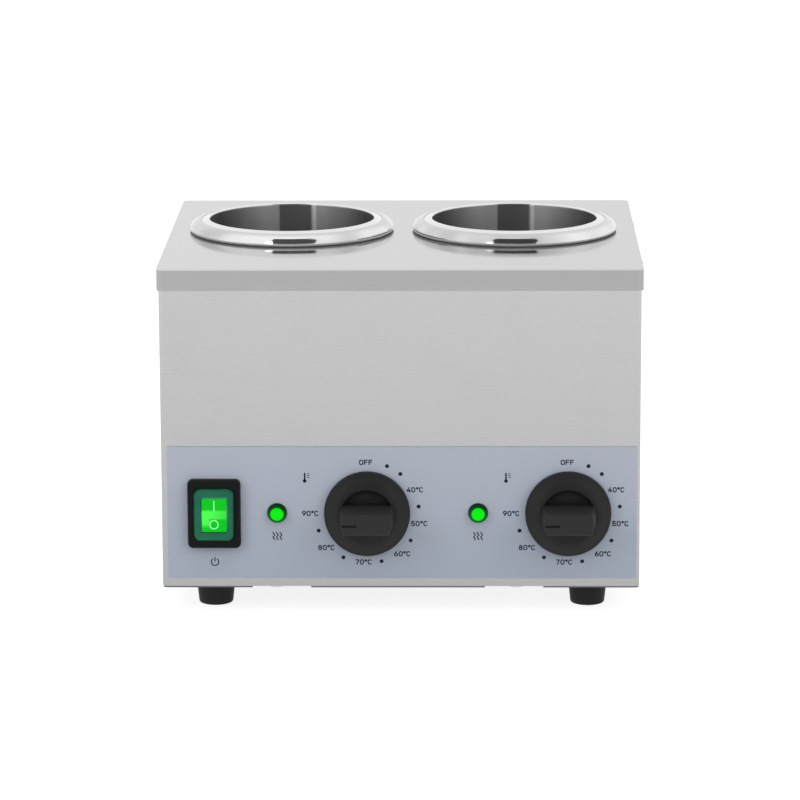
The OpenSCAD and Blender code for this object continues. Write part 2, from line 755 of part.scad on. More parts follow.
// Sensing bulb upright against the well, and its capillary to the thermostat
module sensor(side, x) {
    bulb_x = side * pot_x;
    bulb_y = pot_y - well_out_r - bulb_r - 0.2;
    bulb_z = band_z + 5;
    bulb_top = bulb_z + bulb_l;
    box_top = control_z + thermostat_w / 2 - 1;
    box_y = face_y - wall_in + 10;
    away = side < 0 ? -1 : 1;
    color("peru") union() {
        translate([bulb_x, bulb_y, bulb_z]) cylinder(r = bulb_r, h = bulb_l);
        tube([
            [bulb_x, bulb_y, bulb_top - 0.5],
            [bulb_x, bulb_y, bulb_top + 6],
            [bulb_x, bulb_y - 8, bulb_top + 14],
            [bulb_x - away * 10, bulb_y - 20, bulb_top + 2],
            [x, box_y + 6, box_top + 45],
            [x, box_y, box_top + 10],
            [x, box_y, box_top]], capillary_r, 5.4);
    }
}

module thermal_cutout() {
    color("black") translate([0, 0, well_bottom_z]) {
        translate([0, 0, -2]) cylinder(r = 12, h = 2);
        translate([0, 0, -cutout_h]) cylinder(r = 8, h = cutout_h - 1);
        for (s = [-1, 1])
            translate([s * cutout_blade_x - blade_t / 2, -blade_w / 2, -cutout_h - cutout_blade_l])
                cube([blade_t, blade_w, cutout_blade_l + 1]);
    }
}

// Knob turned to 90 on the dial, its pointer to the left
module knob(x) {
    rim_top_r = knob_r - 0.2;
    bar_root = knob_bowl_floor - 0.8;
    bar_l = knob_front - bar_root;
    color("dimgray") on_front(x) difference() {
        union() {
            difference() {
                rotate_extrude() polygon(concat(
                    [[0, knob_gap], [knob_r - 0.3, knob_gap], [knob_r, knob_gap + 0.3],
                        [rim_top_r, knob_rim]],
                    arc(rim_top_r - 1.8, knob_rim, 1.8, 1.8, 15, 75, 5),
                    [for (t = [1 : 8]) [rim_top_r - 1.8 + (knob_bowl_r + 1 - rim_top_r + 1.8) * t / 8,
                        knob_rim + 1.8 + (knob_dome - knob_rim - 1.8) * sin(90 * t / 8)]],
                    [[0, knob_dome]]));
                // Bowl beside the grip bar's upper side
                intersection() {
                    rotate_extrude() polygon(concat(
                        [[0, knob_bowl_floor], [knob_bowl_r - 4, knob_bowl_floor]],
                        arc(knob_bowl_r - 4, knob_bowl_floor + 4, 4, 4, -75, 0, 6),
                        [[knob_bowl_r + 0.4, knob_dome], [knob_bowl_r + 0.4, knob_dome + eps],
                            [0, knob_dome + eps]]));
                    translate([-knob_r, knob_bowl_side, 0]) cube([2 * knob_r, knob_r, knob_dome + 2 * eps]);
                }
            }
            // Grip bar: a slab with rounded front edges, cut to round ends
            translate([0, 0, bar_root]) intersection() {
                rotate_extrude() polygon(concat(
                    [[0, 0], [grip_l / 2 + grip_flare, 0],
                        [grip_l / 2 + grip_flare, knob_dome - bar_root - 1]],
                    arc(grip_l / 2 - 0.8 - grip_round, bar_l - grip_round, grip_round, grip_round, 5, 90, 5),
                    [[0, bar_l]]));
                rotate([90, 0, 90]) translate([0, 0, -grip_l]) linear_extrude(height = 2 * grip_l) union() {
                    translate([-grip_t / 2, 0]) square([grip_t, bar_l - grip_round]);
                    translate([-grip_t / 2 + grip_round, 0]) square([grip_t - 2 * grip_round, bar_l]);
                    for (s = [-1, 1]) translate([s * (grip_t / 2 - grip_round), bar_l - grip_round])
                        circle(r = grip_round);
                }
            }
        }
        translate([0, 0, knob_gap - eps]) ring(knob_r - knob_skirt_t, knob_hub_r, knob_back - knob_gap + eps);
        translate([0, 0, knob_gap - eps]) cylinder(r = bush_r + 0.5, h = bush_out - knob_gap + 0.6 + eps);
        linear_extrude(height = knob_front - shaft_tip_gap + 0.3) shaft_profile(knob_key);
        cylinder(r = shaft_r + knob_key, h = bush_out + 2);
        translate([-grip_l / 2 + pointer_inset, -pointer_drop - pointer_w / 2, knob_front - pointer_deep])
            cube([pointer_l, pointer_w, pointer_deep + eps]);
    }
}

module switch_frame() {
    color("black") on_front(switch_x) difference() {
        hull() {
            rounded_block(switch_w, switch_h, frame_out - 1.6, frame_round, $fn = 32);
            rounded_block(switch_w - 2 * frame_lean, switch_h - 2 * frame_lean, frame_out,
                frame_round - frame_lean,
                $fn = 32);
        }
        translate([0, 0, -eps])
            rounded_block(boot_w + 1, boot_h + 1, frame_out + 2 * eps, boot_corner_r + 0.5);
    }
}

// Hollow housing behind the front, with bearing holes for the rocker's pins
module switch_body() {
    color("black") on_front(switch_x) difference() {
        translate([0, 0, -switch_body_l]) rounded_block(switch_body_w, switch_body_h, switch_body_l, 1);
        translate([0, -rocker_drop, -switch_cavity]) rounded_block(rocker_w + 2 * rocker_side_gap,
            rocker_h + 2 * rocker_end_gap, switch_cavity + eps, 1);
        translate([-switch_body_w, -rocker_drop, rocker_pivot]) rotate([0, 90, 0])
            cylinder(r = rocker_pin_r + tight, h = 2 * switch_body_w);
    }
}

// Rocker tilted to ON: its upper end is pressed in
module switch_rocker() {
    half = rocker_h / 2;
    end = rocker_end - rocker_pivot;
    middle = rocker_mid - rocker_pivot;
    color("limegreen") on_front(switch_x, control_z - rocker_drop) translate([0, 0, rocker_pivot])
        rotate([-rocker_angle, 0, 0]) union() {
            rotate([90, 0, 90]) translate([0, 0, -rocker_w / 2]) linear_extrude(height = rocker_w)
                polygon([[-half, end], [0, middle], [half, end], [half - 0.6, -1], [4, -rocker_root],
                    [-4, -rocker_root], [-half + 0.6, -1]]);
            translate([-switch_body_w / 2 + 0.3, 0, 0]) rotate([0, 90, 0])
                cylinder(r = rocker_pin_r, h = switch_body_w - 0.6);
        }
}

// Clear boot over the rocker: a thin cap that stands on the housing's rim
module switch_boot() {
    color("seagreen") on_front(switch_x) difference() {
        union() {
            rounded_block(boot_w, boot_h, boot_out - boot_edge, boot_corner_r);
            rounded_block(boot_w - boot_edge, boot_h - boot_edge, boot_out, boot_corner_r - boot_edge / 2);
        }
        translate([0, 0, -eps]) rounded_block(boot_w - 2 * boot_t - 0.2, boot_h - 2 * boot_t - 0.2,
            boot_out - boot_t + eps, boot_corner_r - boot_t);
    }
}

module switch_terminals() {
    color("gold") on_front(switch_x) for (sx = [-1, 1], sy = [-1, 1])
        translate([sx * blade_x - blade_w / 2, sy * blade_z - blade_t / 2, -switch_body_l - blade_l])
            cube([blade_w, blade_t, blade_l]);
}

module lamp_lens(x) {
    color("lime") on_front(x) rotate_extrude() polygon(concat(
        [[0, 0], [lens_r, 0], [lens_r, lens_rim - 0.4]],
        arc(lens_r - 0.6, lens_rim - 0.4, 0.6, 0.4, 20, 90, 3),
        [[lens_face_r + 0.5, lens_out - 0.6]],
        arc(0, lens_out - 0.6, lens_face_r, 0.6, 20, 90, 5)));
}

module lamp_body(x) {
    color("white") on_front(x) union() {
        translate([0, 0, -lamp_l]) cylinder(r = lamp_r, h = lamp_l);
        for (s = [-1, 1]) translate([s * 2, 0, -lamp_l - lamp_pin_l]) cylinder(r = 0.8, h = lamp_pin_l + 1);
    }
}

module lamp_nuts() {
    color("silver") for (i = [0, 1]) on_front(lamp_x + i * control_pitch)
        translate([0, 0, wall_in - lamp_nut_t]) ring(lamp_nut_r, lamp_r + tight, lamp_nut_t);
}

module terminal_block() {
    color("ivory") translate([block_x, block_y, floor_z]) difference() {
        union() {
            translate([-block_w / 2, -block_d / 2, 0]) cube([block_w, block_d, block_h - 5]);
            for (i = [-1, 0, 1]) translate([i * block_pitch - 4.5, -block_d / 2 + 2, 0])
                cube([9, block_d - 4, block_h]);
        }
        for (i = [-1, 0, 1]) translate([i * block_pitch, 0, 0]) {
            for (s = [-1, 1]) translate([0, s * block_d, 5.5]) rotate([s * 90, 0, 0])
                cylinder(r = 2.2, h = block_d - 4);
            for (s = [-1, 1]) translate([0, s * 4.5, block_h - 5]) cylinder(r = 2.4, h = 6);
        }
        for (s = [-1, 1]) translate([s * block_pitch / 2, 0, -eps])
            cylinder(r = m3_r + loose - 0.1, h = block_h);
    }
}

module terminal_block_screws() {
    color("gold") translate([block_x, block_y, floor_z]) {
        for (i = [-1, 0, 1], s = [-1, 1]) translate([i * block_pitch, s * 4.5, block_h - 5])
            difference() {
                cylinder(r = 2.35, h = 3.5);
                translate([-3, -0.4, 2.5]) cube([6, 0.8, 2]);
            }
        for (s = [-1, 1]) translate([s * block_pitch / 2, 0, -2]) difference() {
            cylinder(r = m3_r, h = block_h - 5);
            translate([-3, -0.3, block_h - 6]) cube([6, 0.6, 2]);
        }
    }
}

// Gland parts share one axis through the rear panel; Z points out of the rear
module on_rear() {
    translate([gland_x, back_y, gland_height]) rotate([-90, 0, 0]) children();
}

module cable_gland() {
    color("black") on_rear() difference() {
        union() {
            cylinder(r = gland_flange_r, h = gland_flange_t, $fn = 6);
            translate([0, 0, -gland_stem_l]) cylinder(r = gland_stem_r, h = gland_stem_l + 1);
            cylinder(r = gland_seal_r + 1.5, h = gland_flange_t + 8);
        }
        translate([0, 0, -gland_stem_l - eps]) cylinder(r = gland_bore_r + 1.5, h = gland_stem_l + gland_out);
        translate([0, 0, gland_flange_t - 1]) cylinder(r = gland_seal_r + tight, h = gland_out);
    }
}

module gland_seal() {
    color("dimgray") on_rear() translate([0, 0, gland_flange_t - 1])
        ring(gland_seal_r, gland_bore_r, gland_seal_l);
}

module gland_cap() {
    color("black") on_rear() difference() {
        union() {
            translate([0, 0, gland_flange_t]) cylinder(r = gland_cap_r, h = gland_cap_l - 7);
            translate([0, 0, gland_flange_t]) rotate_extrude() polygon(concat(
                [[0, 0], [gland_cap_r - 0.6, 0]],
                arc(gland_bore_r + 2, gland_cap_l - 8, gland_cap_r - gland_bore_r - 2.6, 8, 0, 90, 8),
                [[0, gland_cap_l]]));
            for (a = [0 : 30 : 330]) rotate([0, 0, a]) translate([gland_cap_r - 0.5, -1, gland_flange_t])
                cube([1.2, 2, gland_cap_l - 8]);
        }
        translate([0, 0, gland_flange_t - eps]) cylinder(r = gland_seal_r + 1.5 + tight, h = 8.2 + eps);
        translate([0, 0, gland_flange_t]) cylinder(r = gland_bore_r + 1, h = gland_cap_l + eps);
    }
}

module gland_locknut() {
    color("black") on_rear() translate([0, 0, -sheet_t - locknut_t]) difference() {
        cylinder(r = locknut_r, h = locknut_t, $fn = 6);
        translate([0, 0, -eps]) cylinder(r = gland_stem_r + tight, h = locknut_t + 2 * eps);
    }
}

module earth_stud() {
    color("gold") translate([earth_x, earth_y, foot_h]) {
        cylinder(r = m4_r, h = earth_l);
        translate([0, 0, -head_m3_h]) cylinder(r = head_m4_r, h = head_m3_h, $fn = 6);
    }
}

module earth_nuts() {
    color("gold") for (z = [floor_z, floor_z + nut_m4_h + 1.4])
        translate([earth_x, earth_y, z]) nut(m4_r, nut_m4_r, nut_m4_h);
}

module foot() {
    color("black") rotate_extrude() polygon(concat(
        [[m4_r + loose, foot_h], [m4_r + loose, foot_seat_h], [5, foot_seat_h],
            [5, 0], [foot_r - foot_taper, 0]],
        arc(foot_r - foot_taper, 1.5, 1.5, 1.5, -75, -5, 5),
        [[foot_r, foot_h - 0.4], [foot_r - 0.3, foot_h]]));
}

module foot_screws() {
    color("silver") at_feet() translate([0, 0, foot_seat_h]) rotate([180, 0, 0])
        pan_screw(m4_r, foot_h - foot_seat_h + 7, head_m4_r, head_m4_h);
}

module foot_nuts() {
    color("silver") at_feet() translate([0, 0, floor_z]) nut(m4_r, nut_m4_r, nut_m4_h);
}

module base_screws() {
    color("silver") {
        at_lip_screws() pan_screw(m3_r, 8, head_m3_r, head_m3_h);
        at_tab_screws() pan_screw(m3_r, 8, tab_head_r, tab_head_h);
    }
}

module cover_screws() {
    color("silver") at_cover_screws() pan_screw(m3_r, 7, head_m3_r, head_m3_h);
}

module rear_screws() {
    color("silver") at_rear_screws() pan_screw(m3_r, 8, head_m3_r, head_m3_h);
}

// Wiring: push-on sleeves over the blades, ring tags on the posts, and round leads between them.
// Each lead leaves its terminal squarely and keeps clear of the wells.
module push_on() {
    difference() {
        translate([-sleeve_w / 2, -sleeve_t / 2, sleeve_end - sleeve_l]) cube([sleeve_w, sleeve_t, sleeve_l]);
        translate([-blade_w / 2 - tight, -blade_t / 2 - tight, sleeve_end - sleeve_l - eps])
            cube([blade_w + 2 * tight, blade_t + 2 * tight, sleeve_l - sleeve_end + eps]);
    }
}

// Sleeve on a switch blade; sx and sz pick the blade
module switch_push_on(sx, sz) {
    translate([switch_x + sx * blade_x, switch_end_y, control_z + sz * blade_z])
        rotate([-90, 0, 0]) push_on();
}

// Sleeve on a blade of the left (0) or right (1) thermostat
module stat_push_on(i, s) {
    translate([stat_x(i, s), stat_end_y, stat_blade_z]) rotate([-90, 90, 0]) push_on();
}

module cutout_push_on(side, s) {
    translate([side * pot_x + s * cutout_blade_x, pot_y, cutout_end_z]) rotate([180, 0, 90]) push_on();
}

// Ring tag with its barrel pointing down
module post_tag(side, s) {
    at_post(side, s) difference() {
        union() {
            cylinder(r = tag_r, h = tag_t);
            translate([-1, -tag_r - 1.5, 0]) cube([2, 2.5, tag_t]);
        }
        translate([0, 0, -eps]) cylinder(r = m3_r + loose, h = tag_t + 2 * eps);
    }
    translate(post_end(side, s)) cylinder(r = tag_barrel_r, h = tag_barrel_l);
}

module lead(points) {
    tube(points, wire_r, wire_step);
}

module wires_live() {
    color("saddlebrown") {
        switch_push_on(-1, -1);
        lead(route_block_to_switch(-1, -1, 10));
        switch_push_on(-1, 1);
        stat_push_on(0, -1);
        lead([
            switch_back(-1, 1), switch_back(-1, 1) + [0, 6, 0],
            [switch_x + 4, switch_end_y + 15, control_z + 26],
            [lamp_x, stat_end_y + 16, control_z + 32], [stat_x(0, -1) - 14, stat_end_y + 16, control_z + 16],
            stat_back(0, -1, 1.9) + [0, 7, 0], stat_back(0, -1, 1.9)]);
        stat_push_on(1, -1);
        lead([
            stat_back(0, -1, -1.9), stat_back(0, -1, -1.9) + [0, 6, 0],
            [knob_x + 8, stat_end_y + 16, control_z - 22],
            [lamp_x + control_pitch, stat_end_y + 10, control_z - 24],
            [stat_x(1, -1) - 14, stat_end_y + 14, control_z - 12],
            stat_back(1, -1, 0) + [0, 7, 0], stat_back(1, -1, 0)]);
        for (i = [0, 1]) heater_feed(i);
    }
}

// From a thermostat through the cut-out under the well to the band heater
module heater_feed(i) {
    side = 2 * i - 1;
    stat_push_on(i, 1);
    cutout_push_on(side, -side);
    cutout_push_on(side, side);
    post_tag(side, side);
    lead([
        stat_back(i, 1, -1.9), stat_back(i, 1, -1.9) + [0, 7, 0],
        [stat_x(i, 1) - 8 * i, stat_end_y + 20, control_z - 18],
        [side * pot_x - side * 16, pot_y - 36, cutout_end_z - 14],
        cutout_low(side, -side) + [0, -5, -7],
        cutout_low(side, -side) + [0, 0, -4], cutout_low(side, -side)]);
    lead([
        cutout_low(side, side), cutout_low(side, side) + [0, 0, -4],
        cutout_low(side, side) + [side * 4, -6, -7],
        post_end(side, side) + [0, 4, -24], post_end(side, side) + [0, 0, -8], post_end(side, side)]);
}

module wires_neutral() {
    color("royalblue") {
        switch_push_on(1, -1);
        lead(route_block_to_switch(0, 1, 0));
        switch_push_on(1, 1);
        post_tag(-1, 1);
        post_tag(1, -1);
        lead([
            switch_back(1, 1), switch_back(1, 1) + [0, 6, 0], [lamp_x, switch_end_y + 18, control_z + 20],
            [post_end(-1, 1)[0] - 4, post_end(-1, 1)[1] - 12, control_z + 2],
            post_end(-1, 1) + [-0.5, 0, -7], post_end(-1, 1) + [-0.5, 0, 0.1]]);
        lead([
            post_end(-1, 1) + [0.5, 0, 0.1], post_end(-1, 1) + [0.5, 0, -7],
            post_end(-1, 1) + [14, -4, -20], post_end(1, -1) + [-14, -4, -20],
            post_end(1, -1) + [0, 0, -7], post_end(1, -1)]);
    }
}

// From a way of the terminal block along the floor to a lower blade of the switch
function route_block_to_switch(way, s, lane) = [
    switch_back(s, -1), switch_back(s, -1) + [0, 7, 0],
    [switch_x + s * blade_x, front_y + 66 + lane, wire_floor + 10],
    [switch_x + 24, front_y + 88 + lane, wire_floor],
    [block_x - 40, front_y + 110 + lane, wire_floor],
    [block_x + way * block_pitch, block_y - block_d / 2 - 20, block_hole_z],
    [block_x + way * block_pitch, block_y - block_d / 2 - 6, block_hole_z],
    [block_x + way * block_pitch, block_y - block_d / 2 + 2, block_hole_z]];

module wires_lamp() {
    color("white") for (i = [0, 1]) {
        lamp = [lamp_x + i * control_pitch, lamp_end_y, control_z];
        top = [stat_x(i, 1), stat_end_y - 2, stat_blade_z + sleeve_w / 2];
        lead_thin([
            lamp + [2, 0, 0], lamp + [2, 6, 0], lamp + [14, 14, 22 + 6 * i],
            [top[0] - 22, stat_end_y + 4, control_z + 26], top + [0, 0, 12], top]);
        side = 2 * i - 1;
        barrel = post_end(side, -side) + [side * tag_barrel_r, 0, tag_barrel_l / 2];
        lead_thin([
            lamp + [-2, 0, 0], lamp + [-2, 7, 0], lamp + [side * 8 - 4, 22, 4],
            barrel + [side * 9, -8, 2], barrel + [side * 6, 0, 0], barrel]);
    }
}

module lead_thin(points) {
    tube(points, wire_thin_r, 5.4);
}

module wire_earth() {
    color("olivedrab") {
        translate([earth_x, earth_y, floor_z + nut_m4_h]) difference() {
            union() {
                cylinder(r = nut_m4_r, h = tag_t);
                translate([-8, -1.5, 0]) cube([6, 3, tag_t]);
            }
            translate([0, 0, -eps]) cylinder(r = m4_r + loose, h = tag_t + 2 * eps);
        }
        lead([
            [earth_x - 7, earth_y, floor_z + nut_m4_h + wire_r],
            [earth_x - 13, earth_y, floor_z + nut_m4_h + wire_r],
            [block_x + block_pitch + 7, block_y + block_d / 2 + 12, wire_floor],
            [block_x + block_pitch, block_y + block_d / 2 + 6, block_hole_z],
            [block_x + block_pitch, block_y + block_d / 2 - 2, block_hole_z]]);
    }
}

top_cover();
body_shell();
rear_panel();
base_plate();
control_overlay();
at_well(-1) well();  // well_left
at_well(1) well();  // well_right
at_well(-1) well_seal();  // well_seal_left
at_well(1) well_seal();  // well_seal_right
well_studs();
well_nuts();
translate([-pot_x, pot_y, 0]) pot();  // pot_left
translate([pot_x, pot_y, 0]) pot();  // pot_right
translate([-pot_x, pot_y, 0]) band_heater();  // band_heater_left
translate([pot_x, pot_y, 0]) band_heater();  // band_heater_right
heater_screws();
at_well(-1) insulation();  // insulation_left
at_well(1) insulation();  // insulation_right
thermostat(knob_x);  // thermostat_left
thermostat(knob_x + control_pitch);  // thermostat_right
thermostat_shaft(knob_x);  // thermostat_shaft_left
thermostat_shaft(knob_x + control_pitch);  // thermostat_shaft_right
thermostat_screws();
sensor(-1, knob_x);  // sensor_left
sensor(1, knob_x + control_pitch);  // sensor_right
translate([-pot_x, pot_y, 0]) thermal_cutout();  // thermal_cutout_left
translate([pot_x, pot_y, 0]) thermal_cutout();  // thermal_cutout_right
knob(knob_x);  // knob_left
knob(knob_x + control_pitch);  // knob_right
switch_frame();
switch_body();
switch_rocker();
switch_boot();
switch_terminals();
lamp_lens(lamp_x);  // lamp_lens_left
lamp_lens(lamp_x + control_pitch);  // lamp_lens_right
lamp_body(lamp_x);  // lamp_body_left
lamp_body(lamp_x + control_pitch);  // lamp_body_right
lamp_nuts();
terminal_block();
terminal_block_screws();
cable_gland();
gland_cap();
gland_locknut();
gland_seal();
earth_stud();
earth_nuts();
at_foot(-1, -1) foot();  // foot_front_left
at_foot(1, -1) foot();  // foot_front_right
at_foot(-1, 1) foot();  // foot_rear_left
at_foot(1, 1) foot();  // foot_rear_right
foot_screws();
foot_nuts();
base_screws();
cover_screws();
rear_screws();
wires_live();
wires_neutral();
wires_lamp();
wire_earth();
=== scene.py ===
import json
import math

import bmesh
import bpy
from mathutils import Euler, Matrix, Vector


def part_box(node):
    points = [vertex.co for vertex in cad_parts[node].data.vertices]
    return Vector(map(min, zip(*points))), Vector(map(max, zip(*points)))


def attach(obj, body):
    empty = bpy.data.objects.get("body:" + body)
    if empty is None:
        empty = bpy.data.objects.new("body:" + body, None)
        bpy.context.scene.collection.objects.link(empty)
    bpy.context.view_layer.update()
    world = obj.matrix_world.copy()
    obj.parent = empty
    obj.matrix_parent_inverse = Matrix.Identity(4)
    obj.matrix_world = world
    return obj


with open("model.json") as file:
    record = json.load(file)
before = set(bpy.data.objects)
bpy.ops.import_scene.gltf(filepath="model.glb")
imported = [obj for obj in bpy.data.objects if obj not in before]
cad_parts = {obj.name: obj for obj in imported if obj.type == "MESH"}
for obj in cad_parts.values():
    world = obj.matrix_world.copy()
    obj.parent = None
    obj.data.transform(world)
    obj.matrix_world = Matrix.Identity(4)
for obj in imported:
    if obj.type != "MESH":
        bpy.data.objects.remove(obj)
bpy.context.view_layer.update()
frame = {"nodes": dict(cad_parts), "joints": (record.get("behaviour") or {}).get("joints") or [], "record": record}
nodes = frame["nodes"]
joints = {j["name"]: j for j in frame["joints"]}

# Places taken from the frame, in metres
MM = 0.001
SIDES = ("left", "right")
OVERLAY_LOW, OVERLAY_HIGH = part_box("control_overlay")
COVER_LOW, COVER_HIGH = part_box("top_cover")
CASE_LOW, CASE_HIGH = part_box("body_shell")
FACE_Y = OVERLAY_LOW.y
CONTROL_Z = joints["knob_left_turn"]["pos_m"][2]
KNOB_X = [joints[f"knob_{side}_turn"]["pos_m"][0] for side in SIDES]
KNOB_LOW, KNOB_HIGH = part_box("knob_left")
KNOB_R = (KNOB_HIGH.x - KNOB_LOW.x) / 2
LAMP_X = [sum(p.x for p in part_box(f"lamp_lens_{side}")) / 2 for side in SIDES]
POT_Y = sum(p.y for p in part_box("pot_left")) / 2
POT_X = [sum(p.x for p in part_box(f"pot_{side}")) / 2 for side in SIDES]
LID_Z = COVER_HIGH.z
RIM_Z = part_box("pot_left")[1].z

# Camera, fitted to the corners of the cover, the rims and the knobs; its angles in degrees
CAMERA_RIGHT = 40.3 * MM
CAMERA_BEFORE_COVER = 2445.3 * MM
CAMERA_ABOVE_COVER = 449.4 * MM
CAMERA_PITCH = 12.26
CAMERA_YAW = 0.946
CAMERA_ROLL = -0.211
CAMERA_LENS = 182.24

# Print on the panel, in millimetres from a control's axis and degrees clockwise from its top
PRINT_T = 0.03
CAPS = 3.45
LINE = 0.34
OFF_WIDTH = 8.3
NUMBER_WIDTH = 10.2
DOT_RING = 32.3
DOT_R = 1.25
DOT_ANGLES = (22.7, 39.9, 82.9, 123.3, 164.1, 207.6, 249.3)
DIAL_NUMBERS = {"40": (29.7, 14.7), "50": (32.4, -6.9), "60": (21.7, -26.3),
                "70": (-2.4, -31.6), "80": (-25.6, -22.3), "90": (-35.5, -0.4)}
OFF_AT = (-0.7, 32.2)
THERMOMETER_AT = (-38.7, 22.4)
HEAT_DROP = 14.9
POWER_DROP = 31.3

# Rocker: its pivot in metres, and its tilt at rest
ROCKER_PIVOT = Vector(joints["rocker_tilt"]["pos_m"])
ROCKER_TILT = math.radians(-6)

# The rocker's two faces, which meet in a crease, in millimetres from its pivot
ROCKER_HALF = 10.5
ROCKER_END = 7.4
ROCKER_MIDDLE = 6.4

# Clear part of the boot, in metres from the rocker's pivot
WINDOW_HALF = 7.9 * MM
WINDOW_LOW = -10 * MM
WINDOW_HIGH = 11.4 * MM

# Knob and lamp lens, in metres from their axes
BOWL_R = 16.3 * MM
BOWL_FLOOR = 6.2 * MM
POINTER_HALF = 4.7 * MM
POINTER_LEFT = 10.3 * MM
LENS_MIDDLE_R = 4.05 * MM

# Pot, in metres from its axis
POT_BORE_R = 53.5 * MM
GROOVE_R = 58.6 * MM
ROLL_R = 60 * MM
# The painted highlight line on the pot's inner wall lies this far right of its axis.
PAINTED_HIGHLIGHT_RIGHT = 12.6 * MM

# Studio, in metres: a card's corners are (x, z)
CARD_Y = -1.5
DARK_CARD = [(-0.58, 0), (0.72, 0), (0.75, 0.8), (2.4, 9), (-1.95, 9), (-0.60, 0.8)]
DARK_LEVEL = 0.075
BRIGHT_CARD = [(-0.84, 0.1), (-0.58, 0.1), (-0.64, 1.2), (-0.90, 1.2)]
BRIGHT_LEVEL = 1.6
WHITE = (1, 1, 1, 1)
FILL_LEVEL = 0.62
FLOOR_LEVEL = 0.85
FLOOR_HALF = 12
FLOOR_Z = -0.1 * MM
LAMP_AIM = (0, 0, 0.1)
SOFTBOXES = {
    "top_softbox": ((0, -0.2, 1.9), (1.8, 1.4), 14),
    "left_softbox": ((-1.7, -1.6, 1.2), (1.0, 1.4), 8),
    "right_softbox": ((1.7, -1.6, 1.2), (1.0, 1.4), 8),
}


class Material:
    """A node material with short calls for the nodes that these surfaces share."""

    def __init__(self, name):
        self.material = bpy.data.materials.new(name)
        self.material.use_nodes = True
        self.tree = self.material.node_tree
        self.shader = self.tree.nodes["Principled BSDF"]
        self.coords = self.tree.nodes.new("ShaderNodeTexCoord").outputs["Object"]

    def node(self, kind, settings=None, **inputs):
        made = self.tree.nodes.new("ShaderNode" + kind)
        for key, value in (settings or {}).items():
            setattr(made, key, value)
        for key, value in inputs.items():
            self.put(made.inputs[key.replace("_", " ")], value)
        return made

    def put(self, socket, value):
        if isinstance(value, bpy.types.NodeSocket):
            self.tree.links.new(value, socket)
        else:
            socket.default_value = value

    def set(self, **inputs):
        for key, value in inputs.items():
            self.put(self.shader.inputs[key.replace("_", " ")], value)

    def math(self, operation, *values):
        made = self.node("Math", {"operation": operation})
        for socket, value in zip(made.inputs, values):
            self.put(socket, value)
        return made.outputs[0]

    def all_of(self, first, *others):
        """The product of masks, or of a mask and a share."""
        for other in others:
            first = self.math("MULTIPLY", first, other)
        return first

    def noise(self, scale, detail, stretch=(1, 1, 1)):
        mapping = self.node("Mapping", Vector=self.coords, Scale=stretch)
        return self.node("TexNoise", Vector=mapping.outputs[0], Scale=scale, Detail=detail).outputs["Fac"]

    def spread(self, fac, low, high, start=0.3, end=0.7):
        """fac taken from start..end to low..high."""
        made = self.node("MapRange", Value=fac)
        for socket, value in zip(made.inputs[1:5], (start, end, low, high)):
            socket.default_value = value
        return made.outputs[0]

    def rise(self, value, start, end):
        """0 up to start and 1 from end on."""
        return self.spread(value, 0, 1, start, end)

    def fall(self, value, start, end):
        """1 up to start and 0 from end on."""
        return self.spread(value, 1, 0, start, end)

    def within(self, value, low, high, soft):
        """1 between low and high, falling to 0 over the width soft."""
        return self.all_of(self.rise(value, low - soft / 2, low + soft / 2),
                           self.fall(value, high - soft / 2, high + soft / 2))

    def mix(self, fac, a, b):
        made = self.node("Mix", {"data_type": "RGBA"})
        self.put(made.inputs[0], fac)
        self.put(made.inputs[6], colour(a))
        self.put(made.inputs[7], colour(b))
        return made.outputs[2]

    def over(self, mask, tone):
        """Lays a tone over the base colour where the mask is 1."""
        base = self.shader.inputs["Base Color"].links[0].from_socket
        self.set(Base_Color=self.mix(mask, base, tone))

    def axis(self, name, start=0):
        """Distance along an axis from a start."""
        value = self.node("SeparateXYZ", Vector=self.coords).outputs[name]
        return self.math("SUBTRACT", value, start) if start else value

    def from_place(self, name, places):
        """Distance along an axis from the nearest of two places, which lie side by side."""
        value = self.axis(name)
        return self.math("MINIMUM", *(self.math("ABSOLUTE", self.math("SUBTRACT", value, p)) for p in places))

    def radius(self, places, across, at):
        """Distance from the nearest of two axes; across is the other coordinate, and at its value on them."""
        aside = self.from_place("X", places)
        other = self.axis(across, at)
        return self.math("SQRT", self.math("ADD", self.math("POWER", aside, 2), self.math("POWER", other, 2)))

    def facing_up(self):
        """1 on faces that lie flat, up or down."""
        normal = self.node("NewGeometry").outputs["Normal"]
        upward = self.math("ABSOLUTE", self.node("SeparateXYZ", Vector=normal).outputs["Z"])
        return self.math("GREATER_THAN", upward, 0.7)

    def bump(self, height, distance, strength):
        self.set(Normal=self.node("Bump", Height=height, Distance=distance, Strength=strength).outputs[0])


def colour(value):
    return (*value, 1.0) if isinstance(value, tuple) and len(value) == 3 else value


def grey(value):
    return (value, value, value)


def times(tone, factor):
    return tuple(c * factor for c in tone)


def brushed(name, tone, roughness, shade=0.02, smudge=0.05):
    """Brushed sheet with smudges: level streaks on upright faces, and streaks along X on flat ones."""
    m = Material(name)
    upright = m.noise(1900, 3, (0.012, 0.012, 1))
    flat = m.noise(1900, 3, (0.012, 1, 0.012))
    streaks = m.mix(m.facing_up(), upright, flat)
    patches = m.mix(0.35, streaks, m.noise(14, 3))
    fingers = m.spread(m.noise(38, 5), 0, smudge, 0.5, 0.75)
    m.set(Base_Color=m.mix(m.spread(patches, 0, 1), times(tone, 1 - shade), times(tone, 1 + shade)))
    grain = m.spread(streaks, roughness - 0.03, roughness + 0.04)
    m.set(Metallic=1.0, Roughness=m.math("ADD", grain, fingers))
    m.bump(streaks, 0.012 * MM, 0.15)
    return m


